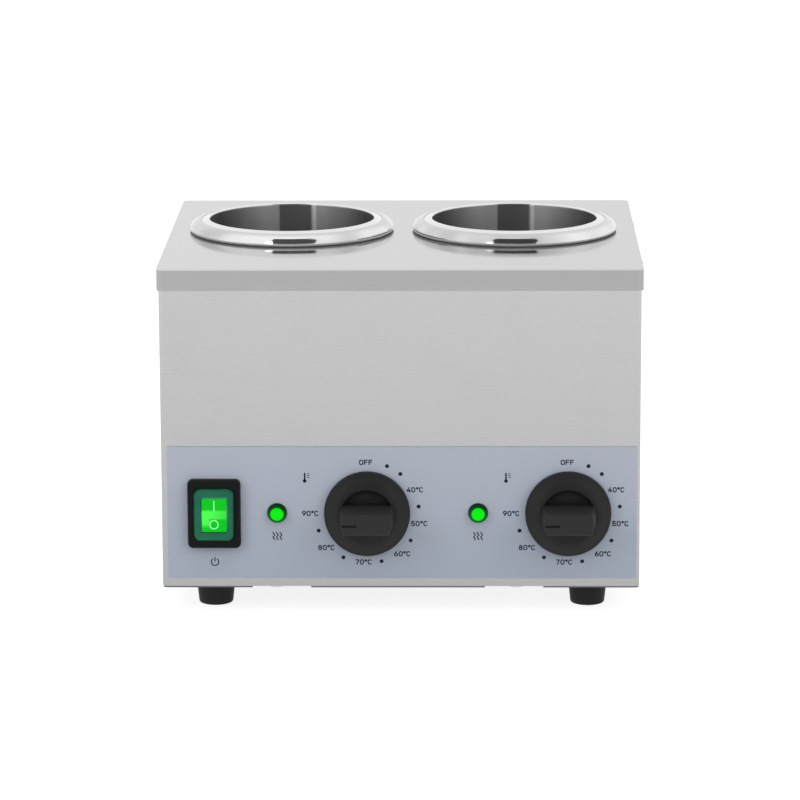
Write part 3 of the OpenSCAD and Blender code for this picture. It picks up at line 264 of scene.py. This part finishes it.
def cover_steel():
    """The cover's top is pale and smooth, with painted shade towards its right side; its folded flange is painted
    darker as painted shade, and is duller.
    """
    m = brushed("cover_steel", grey(0.52), 0.08, 0.015, 0.04)
    flange = m.fall(m.axis("Z"), LID_Z - 1.1 * MM, LID_Z - 0.5 * MM)
    # Painted shade: the cover is darker towards its right side.
    m.over(m.spread(m.axis("X"), 0, 0.12, COVER_LOW.x, COVER_HIGH.x), grey(0.2))
    # Painted shade: the upright flange is painted darker than the top.
    m.over(m.all_of(flange, 0.8), grey(0.34))
    smooth = m.shader.inputs["Roughness"].links[0].from_socket
    m.set(Roughness=m.math("ADD", m.all_of(flange, 0.16), smooth))
    return m


def case_steel():
    """The case is a little darker towards its bottom edge, as painted shade."""
    m = brushed("case_steel", grey(0.495), 0.25, 0.012)
    low = m.fall(m.axis("Z"), CASE_LOW.z, CASE_HIGH.z)
    # Painted shade: the case darkens towards its bottom edge.
    m.over(m.all_of(low, 0.8), grey(0.33))
    return m


def film():
    """Printed film over the controls: blue grey, a little darker to the bottom, with a fine satin grain and a
    painted shadow along its upper edge.
    """
    m = Material("overlay_print")
    height = m.rise(m.axis("Z"), OVERLAY_LOW.z, OVERLAY_HIGH.z)
    cast = m.mix(height, (0.500, 0.565, 0.680), (0.580, 0.625, 0.730))
    grain = m.noise(5200, 2)
    cloud = m.spread(m.noise(22, 3), 0, 0.10)
    painted_edge_shadow = m.spread(m.axis("Z"), 0, 0.6, OVERLAY_HIGH.z - 0.5 * MM, OVERLAY_HIGH.z - 0.35 * MM)
    m.set(Base_Color=m.mix(m.math("ADD", m.spread(grain, 0, 0.05), cloud), cast, (0.56, 0.58, 0.63)))
    # Painted shadow: a thin dark line along the film's upper edge, where its thickness casts shade.
    m.over(painted_edge_shadow, (0.36, 0.39, 0.45))
    m.set(Roughness=m.spread(m.noise(30, 3), 0.38, 0.48), Specular_IOR_Level=0.35)
    m.bump(grain, 0.02 * MM, 0.3)
    return m


def moulded(name, tone, roughness, grain=0.03, size=1800, spot=0.12, gloss=0.4):
    """Moulded plastic or rubber with a spark-eroded grain and slight unevenness of tone."""
    m = Material(name)
    skin = m.noise(size, 3)
    wide = m.noise(60, 3)
    m.set(Base_Color=m.mix(m.spread(wide, 0, 1), times(tone, 1 - spot), times(tone, 1 + spot)))
    m.set(Roughness=m.spread(skin, roughness - 0.06, roughness + 0.08), Specular_IOR_Level=gloss)
    m.bump(skin, grain * MM, 0.5)
    return m


def knob_plastic():
    """Charcoal knob: painted shade below and under its grip, a front face painted lighter as painted light, a bowl
    painted paler at the top as painted light, a painted bluish shade on its outer edge, and a dark pointer.
    """
    m = moulded("knob_plastic", (0.0145, 0.0148, 0.0145), 0.55, 0.015, 2600, 0.10, 0.3)
    up = m.axis("Z", CONTROL_Z)
    depth = m.axis("Y", KNOB_LOW.y)
    away = m.radius(KNOB_X, "Z", CONTROL_Z)
    past_pointer = m.math("SUBTRACT", m.from_place("X", [x - POINTER_LEFT for x in KNOB_X]), POINTER_HALF)
    # Where the painted shadow below the grip lies.
    painted_grip_shadow = m.all_of(m.within(up, -7.8 * MM, -6.3 * MM, 0.6 * MM), m.fall(depth, 4 * MM, 5 * MM))
    bowl = m.all_of(m.fall(away, BOWL_R - 0.9 * MM, BOWL_R + 0.9 * MM),
                    m.rise(up, BOWL_FLOOR - 0.3 * MM, BOWL_FLOOR + 0.3 * MM),
                    m.rise(depth, 0.4 * MM, 1.2 * MM))
    pointer = m.all_of(m.within(up, -1.5 * MM, 0.3 * MM, 0.1 * MM), m.fall(past_pointer, 0, 0.1 * MM),
                       m.within(depth, 0.15 * MM, 1.2 * MM, 0.1 * MM))
    # Painted shade: the knob darkens towards its bottom.
    m.over(m.spread(up, 0.6, 0, -27 * MM, 10 * MM), grey(0.004))
    # Painted light: the front face is painted lighter than the rest of the knob.
    m.over(m.fall(depth, 0.2 * MM, 0.6 * MM), grey(0.0235))
    # Painted shadow: a dark band along the grip's lower edge.
    m.over(painted_grip_shadow, grey(0.006))
    # Painted light: the bowl's tone is set for its shade, paler towards its top.
    m.over(bowl, m.mix(m.rise(up, 7 * MM, 15 * MM), grey(0.016), grey(0.036)))
    # Painted shade: a bluish dark band round the knob's outer edge.
    m.over(m.rise(away, KNOB_R - 1.4 * MM, KNOB_R - 0.4 * MM), (0.006, 0.009, 0.014))
    m.over(pointer, grey(0.002))
    return m


def rolled_rim(m, away, height):
    """The pot's rim: a bright flat, a painted shade line along its thin crease, and a roll painted darker with
    patches of painted reflection.
    """
    flat = m.mix(m.noise(30, 3), grey(0.74), grey(0.84))
    # Painted reflection: the roll is painted darker than the flat, in random lighter and darker patches.
    painted_reflections = m.mix(m.rise(m.noise(18, 2), 0.4, 0.6), grey(0.56), grey(0.86))
    roll = m.mix(m.rise(away, ROLL_R, ROLL_R + 4 * MM), grey(0.56), painted_reflections)
    # Painted shade: a dark line along the rim's crease, above the lid.
    crease_shade = m.all_of(m.within(away, GROOVE_R - 0.4 * MM, GROOVE_R + 0.4 * MM, 0.5 * MM),
                      m.rise(height, LID_Z + 5 * MM, LID_Z + 6 * MM), 0.85)
    rim = m.mix(m.rise(away, GROOVE_R - 0.3 * MM, GROOVE_R + 0.3 * MM), flat, roll)
    return m.mix(crease_shade, rim, grey(0.30))


def turned_wall(m, rings, height):
    """The pot's wall inside: soft upright stripes of painted reflection over its turning rings, painted shade on
    its flanks, and a painted dark reflection strip with a painted highlight line at the back.
    """
    aside = m.from_place("X", POT_X)
    from_painted_highlight = m.from_place("X", [x + PAINTED_HIGHLIGHT_RIGHT for x in POT_X])
    back = m.all_of(m.rise(m.axis("Y"), POT_Y, POT_Y + 20 * MM),
                    m.rise(height, RIM_Z - 75 * MM, RIM_Z - 35 * MM))
    # Painted reflection: soft upright stripes mixed over the turning rings.
    turning_and_reflection_bands = m.mix(0.75, rings, m.noise(34, 1, (1, 1, 0)))
    wall = m.mix(m.rise(turning_and_reflection_bands, 0.35, 0.65), grey(0.50), grey(0.72))
    # Painted shade: the wall's flanks are darker.
    wall = m.mix(m.spread(aside, 0, 0.9, 20 * MM, 48 * MM), wall, grey(0.08))
    # Painted reflection: a dark upright strip at the back.
    wall = m.mix(m.all_of(m.fall(aside, 10 * MM, 11 * MM), back, 0.75), wall, grey(0.06))
    # Painted highlight: a bright thin line at the back, beside the dark strip.
    return m.mix(m.all_of(back, m.fall(from_painted_highlight, 0.8 * MM, 1.6 * MM)), wall, grey(0.97))


def polished_pot():
    """Pot: a polished rim whose dull underside is painted darker as painted shade, and turned walls inside and
    out.
    """
    m = Material("pot_steel")
    away = m.radius(POT_X, "Y", POT_Y)
    height = m.axis("Z")
    rings = m.noise(2600, 3, (0.02, 0.02, 1))
    inside = m.all_of(m.fall(height, RIM_Z - 1.1 * MM, RIM_Z - 0.5 * MM),
                      m.fall(away, POT_BORE_R - 0.2 * MM, POT_BORE_R + 0.2 * MM))
    outside = m.all_of(m.fall(height, LID_Z - 1.5 * MM, LID_Z - 0.5 * MM), m.math("SUBTRACT", 1, inside))
    under = m.all_of(m.fall(height, LID_Z + 1.1 * MM, LID_Z + 1.7 * MM),
                     m.rise(away, ROLL_R, ROLL_R + 1 * MM))
    turned = m.math("MAXIMUM", inside, outside)
    m.set(Base_Color=rolled_rim(m, away, height))
    # Painted shade: the roll's underside next to the lid is painted darker; lower metallic and added roughness
    # make it dull.
    m.over(m.all_of(under, 0.9), grey(0.45))
    m.over(outside, m.mix(m.spread(rings, 0, 1), grey(0.36), grey(0.46)))
    m.over(inside, turned_wall(m, rings, height))
    m.set(Metallic=m.math("SUBTRACT", m.spread(inside, 1.0, 0.7, 0, 1), m.all_of(under, 0.8)))
    dull = m.math("ADD", m.all_of(turned, m.spread(rings, 0.26, 0.36)), m.all_of(under, 0.4))
    m.set(Roughness=m.math("ADD", dull, m.spread(m.noise(40, 3), 0.05, 0.09)))
    m.bump(m.all_of(rings, turned), 0.02 * MM, 0.4)
    return m


def drawn_steel():
    """Deep-drawn steel with faint rings round it."""
    m = Material("well_steel")
    rings = m.noise(1500, 3, (0.03, 0.03, 1))
    m.set(Base_Color=m.mix(m.spread(rings, 0, 1), grey(0.45), grey(0.54)), Metallic=1.0)
    m.set(Roughness=m.spread(m.noise(50, 4), 0.28, 0.42))
    m.bump(rings, 0.02 * MM, 0.4)
    return m


def plated(name, tone, roughness=0.28):
    """Plated or bare small metal parts."""
    m = Material(name)
    speck = m.noise(900, 4)
    m.set(Base_Color=m.mix(m.spread(speck, 0, 1), times(tone, 0.85), tone), Metallic=1.0)
    m.set(Roughness=m.spread(speck, roughness - 0.06, roughness + 0.12))
    m.bump(speck, 0.02 * MM, 0.3)
    return m


def fibre_mat():
    """Needled mat of mineral fibre."""
    m = Material("insulation")
    fibres = m.noise(420, 6, (1, 1, 0.25))
    tufts = m.noise(60, 4)
    m.set(Base_Color=m.mix(m.spread(fibres, 0, 1), (0.52, 0.46, 0.33), (0.82, 0.77, 0.62)), Roughness=0.95)
    m.bump(m.math("ADD", fibres, tufts), 1.2 * MM, 0.7)
    return m


def heater_sheath():
    """Sheath of a band heater, browned in patches by heat."""
    m = Material("heater_metal")
    patch = m.noise(28, 5)
    m.set(Base_Color=m.mix(m.spread(patch, 0, 1), (0.40, 0.30, 0.17), (0.62, 0.55, 0.40)), Metallic=0.9)
    m.set(Roughness=m.spread(m.noise(500, 3), 0.32, 0.5))
    m.bump(m.noise(700, 3, (1, 1, 0.1)), 0.03 * MM, 0.4)
    return m


def lit_rocker():
    """Rocker lit from within: bright green, with a paler band along its crease that widens to the left."""
    m = Material("rocker_green")
    right, up = m.axis("X", ROCKER_PIVOT.x), m.axis("Z", ROCKER_PIVOT.z)
    band = m.all_of(m.within(up, -1.9 * MM, 3.4 * MM, 1.2 * MM), m.spread(right, 1, 0.55, -2 * MM, 6 * MM))
    corner = m.all_of(m.fall(right, -4 * MM, -1 * MM), m.within(up, -6 * MM, 3 * MM, 3 * MM))
    glow = m.mix(m.math("MAXIMUM", band, corner), (0.0, 0.56, 0.0), (0.09, 1.0, 0.09))
    m.set(Base_Color=(0.0, 0.12, 0.0, 1), Roughness=m.spread(m.noise(300, 3), 0.25, 0.4))
    m.set(Emission_Color=glow, Emission_Strength=1.0, Specular_IOR_Level=0.1)
    return m


def clear_boot():
    """Soft clear cover: green, clearest over the rocker, and cloudier where it turns at its edge."""
    m = Material("boot_green")
    right, up = m.axis("X", ROCKER_PIVOT.x), m.axis("Z", ROCKER_PIVOT.z)
    cloud = m.noise(120, 4)
    window = m.all_of(m.within(right, -WINDOW_HALF, WINDOW_HALF, 0.6 * MM),
                      m.within(up, WINDOW_LOW, WINDOW_HIGH, 0.6 * MM))
    m.set(Base_Color=m.mix(m.spread(cloud, 0, 1), (0.030, 0.290, 0.165), (0.045, 0.340, 0.195)))
    m.set(Roughness=m.spread(m.noise(900, 3), 0.24, 0.36), Alpha=m.spread(window, 0.45, 0.06, 0, 1))
    m.set(Specular_IOR_Level=0.25)
    m.bump(cloud, 0.05 * MM, 0.3)
    return m


def lit_lens():
    """Pilot lamp's lens: a dark green cone round a bright middle. The cone's glow is the lamp's own, with painted
    light towards its bottom and painted shade at its top.
    """
    m = Material("lens_green")
    away = m.radius(LAMP_X, "Z", CONTROL_Z)
    middle = m.fall(away, LENS_MIDDLE_R - 0.35 * MM, LENS_MIDDLE_R + 0.35 * MM)
    # Painted light: the cone glows more towards its bottom and is nearly black at its top.
    cone = m.mix(m.rise(m.axis("Z", CONTROL_Z), -6 * MM, 3 * MM), (0.0, 0.10, 0.008), (0.0, 0.012, 0.001))
    facets = m.spread(m.noise(700, 2), 0, 1)
    m.set(Base_Color=m.mix(facets, (0.0, 0.012, 0.003), (0.0, 0.03, 0.006)))
    m.set(Roughness=0.08, Specular_IOR_Level=0.08)
    m.set(Emission_Color=m.mix(middle, cone, (0.0, 0.85, 0.0)), Emission_Strength=1.0)
    return m


def print_ink():
    """Dark blue screen print."""
    m = Material("print_ink")
    m.set(Base_Color=m.mix(m.spread(m.noise(2000, 2), 0, 1), (0.006, 0.009, 0.020), (0.012, 0.016, 0.032)))
    m.set(Roughness=0.5, Specular_IOR_Level=0.2)
    return m.material


def lit_mark():
    """The rocker's marks, which its lamp shines through."""
    m = Material("mark_glow")
    m.set(Base_Color=(0.3, 0.8, 0.4, 1), Emission_Strength=0.75, Specular_IOR_Level=0.1)
    m.set(Emission_Color=m.mix(m.spread(m.noise(800, 2), 0, 1), (0.30, 1.0, 0.42), (0.42, 1.0, 0.52)))
    return m.material


def paint_frame():
    """Gives every node of the frame its finished material, by the record's material slots."""
    made = {
        "cover_steel": cover_steel(),
        "case_steel": case_steel(),
        # Painted shade: the base plate's steel is painted very dark, for the shadowed gap under the case.
        "base_steel": brushed("base_steel", grey(0.13), 0.42),
        "well_steel": drawn_steel(),
        "pot_steel": polished_pot(),
        "fixings": plated("fixings", (0.60, 0.60, 0.61)),
        "heater_metal": heater_sheath(),
        "insulation": fibre_mat(),
        "silicone": moulded("silicone", (0.42, 0.05, 0.035), 0.55, 0.04, 900),
        "overlay_print": film(),
        "knob_plastic": knob_plastic(),
        "black_plastic": moulded("black_plastic", (0.0042, 0.0052, 0.0055), 0.34, 0.01, 2200, 0.2, 0.12),
        "grey_plastic": moulded("grey_plastic", (0.12, 0.12, 0.13), 0.45),
        "rocker_green": lit_rocker(),
        "boot_green": clear_boot(),
        "lens_green": lit_lens(),
        "white_plastic": moulded("white_plastic", (0.66, 0.65, 0.61), 0.4, 0.02, 1500, 0.05),
        "brass": plated("brass", (0.72, 0.52, 0.22), 0.3),
        "copper": plated("copper", (0.74, 0.36, 0.20), 0.3),
        "foot_rubber": moulded("foot_rubber", (0.024, 0.025, 0.025), 0.62, 0.06, 1400, 0.2, 0.25),
        "wire_brown": moulded("wire_brown", (0.15, 0.06, 0.03), 0.4, 0.01),
        "wire_blue": moulded("wire_blue", (0.03, 0.09, 0.36), 0.4, 0.01),
        "wire_white": moulded("wire_white", (0.66, 0.66, 0.62), 0.4, 0.01),
        "wire_green": moulded("wire_green", (0.16, 0.36, 0.04), 0.4, 0.01),
    }
    for part in frame["record"]["subparts"]:
        mesh = nodes[part["node"]].data
        mesh.materials.clear()
        mesh.materials.append(made[part["material_slot"]].material)
        for face in mesh.polygons:
            face.material_index = 0


# Widths of the rounded edges, in millimetres
EDGES = {
    "top_cover": 0.8, "body_shell": 0.5, "rear_panel": 0.3, "base_plate": 0.3, "control_overlay": 0.12,
    "knob_left": 0.35, "knob_right": 0.35, "switch_frame": 0.5, "switch_boot": 0.35, "switch_rocker": 0.4,
    "switch_body": 0.4, "thermostat_left": 0.4, "thermostat_right": 0.4, "terminal_block": 0.3,
    "cable_gland": 0.4, "gland_cap": 0.35, "band_heater_left": 0.3, "band_heater_right": 0.3,
}


def round_edges():
    """Small rounded edges catch the light as real folds and mouldings do."""
    for name, width in EDGES.items():
        node = nodes[name]
        merge = node.modifiers.new("flat faces", "DECIMATE")
        merge.decimate_type = "DISSOLVE"
        merge.angle_limit = math.radians(1)
        bevel = node.modifiers.new("rounded edges", "BEVEL")
        bevel.width = width * MM
        bevel.segments = 3
        bevel.limit_method = "ANGLE"
        bevel.angle_limit = math.radians(40)
        bevel.harden_normals = True
    for node in nodes.values():
        for face in node.data.polygons:
            face.use_smooth = True


class Print:
    """Thin closed shapes on a plane, drawn in millimetres. place(u, v, w) gives a point: right, up, out."""

    def __init__(self, name, place, material, body, slot):
        self.name, self.place, self.material, self.body, self.slot = name, place, material, body, slot
        self.mesh = bmesh.new()

    def strip(self, points, closed=False):
        """A strip through (u, v, half width) points, as wide as each says."""
        last = len(points) - 1
        rows = []
        for i, (u, v, half) in enumerate(points):
            before = points[i - 1] if i or closed else points[i]
            after = points[(i + 1) % (last + 1)] if i < last or closed else points[i]
            run = Vector((after[0] - before[0], after[1] - before[1])).normalized()
            left, right = (u - run.y * half, v + run.x * half), (u + run.y * half, v - run.x * half)
            rows.append([self.mesh.verts.new(self.place(*side, w)) for side in (left, right)
                         for w in (PRINT_T, -PRINT_T)])
        pairs = [(rows[i], rows[i + 1]) for i in range(last)] + ([(rows[-1], rows[0])] if closed else [])
        for a, b in pairs:
            for i, j in ((0, 2), (2, 3), (3, 1), (1, 0)):
                self.mesh.faces.new((a[i], b[i], b[j], a[j]))
        if not closed:
            for row in (rows[0], rows[-1]):
                self.mesh.faces.new((row[0], row[1], row[3], row[2]))

    def stroke(self, line, half, ends=3):
        """A line of even width with round ends."""
        turns = [math.pi / 2 * (i + 0.3) / (ends + 0.3) for i in range(ends)]

        def round_end(tip, before):
            out = (Vector(tip) - Vector(before)).normalized()
            return [(*(Vector(tip) + out * half * math.cos(a)), half * math.sin(a)) for a in turns]

        middle = [(u, v, half) for u, v in line]
        self.strip(round_end(line[0], line[1]) + middle + round_end(line[-1], line[-2])[::-1])

    def ring(self, u, v, radius, half, steps=32):
        turns = [2 * math.pi * i / steps for i in range(steps)]
        around = [(u + radius * math.cos(a), v + radius * math.sin(a), half) for a in turns]
        self.strip(around, closed=True)

    def dot(self, u, v, radius, steps=10):
        turns = [math.pi * (i + 0.15) / (steps + 0.3) for i in range(steps + 1)]
        self.strip([(u - radius * math.cos(a), v, radius * math.sin(a)) for a in turns])

    def words(self, text, u, v, width):
        """Plain narrow lettering, centred on a point and drawn to the given width."""
        lines, end = [], 0
        for letter in text:
            strokes, wide = GLYPHS[letter]
            lines += [[(end + x, y) for x, y in line] for line in strokes]
            end += wide + 0.3
        size = (width - 2 * LINE) / (end - 0.3)
        height = CAPS - 2 * LINE
        for line in lines:
            self.stroke([(u - width / 2 + LINE + x * size, v + (y - 0.5) * height) for x, y in line], LINE)

    def finish(self):
        """Makes the piece, which rides on its body."""
        bmesh.ops.remove_doubles(self.mesh, verts=self.mesh.verts, dist=1e-7)
        bmesh.ops.recalc_face_normals(self.mesh, faces=self.mesh.faces)
        data = bpy.data.meshes.new(self.name)
        self.mesh.to_mesh(data)
        self.mesh.free()
        data.materials.append(self.material)
        piece = bpy.data.objects.new(self.name, data)
        bpy.context.scene.collection.objects.link(piece)
        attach(piece, self.body)


def arc(u, v, radius, start, end, steps=12, tall=None):
    """Points on a circle, or on an ellipse as tall as given, in degrees clockwise from the top."""
    turns = [math.radians(start + (end - start) * i / steps) for i in range(steps + 1)]
    return [(u + radius * math.sin(a), v + (tall or radius) * math.cos(a)) for a in turns]


# Letters as the middle lines of their strokes, one unit tall, each with its width
ROUND = arc(0.29, 0.71, 0.29, -90, 90, tall=0.29) + arc(0.29, 0.29, 0.29, 90, 270, tall=0.29)
GLYPHS = {
    "O": ([ROUND + ROUND[:1]], 0.58),
    "0": ([ROUND + ROUND[:1]], 0.58),
    "4": ([[(0.36, 1), (0.0, 0.26)], [(0.0, 0.26), (0.58, 0.26)], [(0.43, 0.5), (0.43, 0)]], 0.58),
    "5": ([[(0.52, 1), (0.07, 1)], [(0.07, 1), (0.04, 0.56)],
           arc(0.26, 0.31, 0.29, -48, 245, 16, 0.31)], 0.56),
    "6": ([arc(0.29, 0.3, 0.29, 0, 360, 16, 0.3), [(0.03, 0.42), (0.17, 0.72), (0.36, 1)]], 0.58),
    "7": ([[(0, 1), (0.54, 1)], [(0.54, 1), (0.18, 0)]], 0.54),
    "8": ([arc(0.29, 0.76, 0.23, 0, 360, 14, 0.24), arc(0.29, 0.27, 0.29, 0, 360, 16, 0.27)], 0.58),
    "9": ([arc(0.29, 0.7, 0.29, 0, 360, 16, 0.3), [(0.55, 0.58), (0.41, 0.28), (0.22, 0)]], 0.58),
    "°": ([arc(0.16, 0.84, 0.16, 0, 360, 12, 0.16)], 0.30),
    "C": ([arc(0.29, 0.71, 0.29, 62, -90, 8)[:-1] + arc(0.29, 0.29, 0.29, -90, -242, 8)], 0.56),
    "F": ([[(0, 0), (0, 1)], [(0, 1), (0.5, 1)], [(0, 0.52), (0.42, 0.52)]], 0.5),
}


def dial(name, knob_x, ink):
    """Dots and numbers round a knob."""
    def place(u, v, w):
        return Vector((knob_x + u * MM, FACE_Y - w * MM, CONTROL_Z + v * MM))

    made = Print(name, place, ink, "case", "overlay_print")
    for angle in DOT_ANGLES:
        made.dot(*arc(0, 0, DOT_RING, angle, angle, 1)[0], DOT_R)
    made.words("OFF", *OFF_AT, OFF_WIDTH)
    for number, at in DIAL_NUMBERS.items():
        made.words(number + "°C", *at, NUMBER_WIDTH)
    u, v = THERMOMETER_AT
    made.dot(u, v - 2.1, 1.15)
    made.stroke([(u, v - 1.6), (u, v + 2.7)], 0.5)
    for rise in (0.1, 1.3, 2.5):
        made.stroke([(u + 1.5, v + rise), (u + 2.9, v + rise)], 0.2)
    made.finish()


def panel_icons(ink):
    """Heat waves under the lamps and a power sign under the switch."""
    def place(u, v, w):
        return Vector((u * MM, FACE_Y - w * MM, CONTROL_Z + v * MM))

    made = Print("panel_icons", place, ink, "case", "overlay_print")
    rises = [-2.4 + 4.8 * i / 16 for i in range(17)]
    for x in LAMP_X:
        for aside in (-2.2, 0, 2.2):
            made.stroke([(x / MM + aside + 0.5 * math.sin(2.1 * r), r - HEAT_DROP) for r in rises], LINE)
    u = ROCKER_PIVOT.x / MM
    made.stroke(arc(u, -POWER_DROP - 0.3, 2.3, 38, 322, 24), LINE)
    made.stroke([(u, 0.2 - POWER_DROP), (u, 2.6 - POWER_DROP)], LINE)
    made.finish()


def rocker_face(side):
    """Places on the rocker's upper (1) or lower (-1) face, from the crease outward."""
    slope = math.atan2(ROCKER_END - ROCKER_MIDDLE, ROCKER_HALF)

    def place(u, v, w):
        along, out = v * math.cos(slope) - side * w * math.sin(slope), ROCKER_MIDDLE + w * math.cos(slope)
        out += side * v * math.sin(slope)
        up = along * math.cos(ROCKER_TILT) - out * math.sin(ROCKER_TILT)
        front = along * math.sin(ROCKER_TILT) + out * math.cos(ROCKER_TILT)
        return ROCKER_PIVOT + Vector((u, -front, up)) * MM

    return place


def rocker_marks(glow):
    """I on the rocker's upper face and O on its lower one."""
    made = Print("rocker_mark_on", rocker_face(1), glow, "rocker", "rocker_green")
    made.stroke([(0, 2.5), (0, 8.8)], 0.3)
    made.finish()
    made = Print("rocker_mark_off", rocker_face(-1), glow, "rocker", "rocker_green")
    made.ring(0, -6.0, 2.6, 0.27)
    made.finish()


def camera():
    """The photo's view, as a plain camera without shift."""
    data = bpy.data.cameras.new("camera")
    data.lens = CAMERA_LENS
    data.sensor_width = 36
    data.clip_end = 50
    made = bpy.data.objects.new("camera", data)
    bpy.context.scene.collection.objects.link(made)
    made.location = (CAMERA_RIGHT, COVER_LOW.y - CAMERA_BEFORE_COVER, LID_Z + CAMERA_ABOVE_COVER)
    aim = Euler((math.radians(90 - CAMERA_PITCH), 0, math.radians(CAMERA_YAW))).to_matrix()
    made.rotation_euler = (aim @ Matrix.Rotation(math.radians(CAMERA_ROLL), 3, "Z")).to_euler()
    bpy.context.scene.camera = made


def softbox(name, place, size, power):
    """A large lamp that lights the object but doesn't show in its reflections."""
    data = bpy.data.lights.new(name, "AREA")
    data.shape = "RECTANGLE"
    data.size, data.size_y = size
    data.energy = power
    made = bpy.data.objects.new(name, data)
    bpy.context.scene.collection.objects.link(made)
    made.location = place
    made.rotation_euler = (Vector(LAMP_AIM) - Vector(place)).to_track_quat("-Z", "Y").to_euler()
    made.visible_camera = False
    made.visible_glossy = False


def pale_room():
    """A white world for the camera and for reflections, and a softer one as light."""
    world = bpy.data.worlds.new("room")
    bpy.context.scene.world = world
    world.use_nodes = True
    tree = world.node_tree
    back = tree.nodes["Background"]
    back.inputs["Color"].default_value = WHITE
    level = tree.nodes.new("ShaderNodeMapRange")
    level.inputs["To Min"].default_value = FILL_LEVEL
    level.inputs["To Max"].default_value = 1.0
    tree.links.new(seen_directly(tree), level.inputs["Value"])
    tree.links.new(level.outputs[0], back.inputs["Strength"])


def seen_directly(tree):
    """1 for what the camera sees, also in reflections and through clear parts."""
    path = tree.nodes.new("ShaderNodeLightPath")
    seen = path.outputs["Is Camera Ray"]
    for name in ("Is Glossy Ray", "Is Transmission Ray"):
        either = tree.nodes.new("ShaderNodeMath")
        either.operation = "MAXIMUM"
        tree.links.new(seen, either.inputs[0])
        tree.links.new(path.outputs[name], either.inputs[1])
        seen = either.outputs[0]
    return seen


def flat_stage(name, corners, material):
    """A flat sheet that is part of the studio, not of the object."""
    mesh = bpy.data.meshes.new(name)
    mesh.from_pydata(corners, [], [range(len(corners))])
    mesh.materials.append(material)
    made = bpy.data.objects.new(name, mesh)
    bpy.context.scene.collection.objects.link(made)
    return made


def floor():
    """A white floor that keeps the object's shadow and is clear from below."""
    m = Material("floor")
    m.set(Base_Color=(0.42, 0.42, 0.42, 1), Roughness=0.9, Specular_IOR_Level=0.0)
    m.set(Emission_Color=WHITE, Emission_Strength=m.math("MULTIPLY", seen_directly(m.tree), FLOOR_LEVEL))
    m.set(Alpha=m.math("SUBTRACT", 1, m.node("NewGeometry").outputs["Backfacing"]))
    around = ((-1, -1), (1, -1), (1, 1), (-1, 1))
    flat_stage("floor", [(x * FLOOR_HALF, y * FLOOR_HALF, FLOOR_Z) for x, y in around], m.material)


def only_in_reflections(card):
    """Hides a card from everything but glossy surfaces."""
    card.visible_camera = False
    card.visible_diffuse = False
    card.visible_shadow = False
    card.visible_transmission = False


def studio_card(name, corners, level):
    """A card that shows only in reflections."""
    m = Material(name)
    m.set(Base_Color=(0, 0, 0, 1), Roughness=1.0, Specular_IOR_Level=0.0)
    m.set(Emission_Color=(level, level, level, 1), Emission_Strength=1.0)
    only_in_reflections(flat_stage(name, corners, m.material))


def glow_card(name, corners, level, seen_by):
    """A clear card whose glow shows only in the reflections of some nodes."""
    m = Material(name)
    both = m.node("AddShader")
    m.put(both.inputs[0], m.node("Emission", Strength=level).outputs[0])
    m.put(both.inputs[1], m.node("BsdfTransparent").outputs[0])
    m.put(m.tree.nodes["Material Output"].inputs["Surface"], both.outputs[0])
    card = flat_stage(name, corners, m.material)
    only_in_reflections(card)
    receivers = bpy.data.collections.new(f"{name}_receivers")
    for node in seen_by:
        receivers.objects.link(nodes[node])
    card.light_linking.receiver_collection = receivers


def studio():
    """A white room with a dark card and a bright one before the rims. The sheets see a white card instead."""
    camera()
    pale_room()
    floor()
    dark = [(x, CARD_Y, z) for x, z in DARK_CARD]
    bright = [(x, CARD_Y, z) for x, z in BRIGHT_CARD]
    in_front = [(x, CARD_Y + 0.01, z) for x, z in DARK_CARD]
    studio_card("dark_card", dark, DARK_LEVEL)
    glow_card("bright_card", bright, BRIGHT_LEVEL, ("pot_left", "pot_right"))
    glow_card("sheet_glow", in_front, 1 - DARK_LEVEL, ("top_cover", "body_shell", "rear_panel"))
    for name, (place, size, power) in SOFTBOXES.items():
        softbox(name, place, size, power)
    bpy.context.scene.view_settings.view_transform = "Standard"


def dress():
    """Materials and rounded edges for the frame, and the print on the panel and the rocker."""
    paint_frame()
    round_edges()
    ink = print_ink()
    for side, x in zip(SIDES, KNOB_X):
        dial(f"dial_{side}", x, ink)
    panel_icons(ink)
    rocker_marks(lit_mark())


studio()
dress()
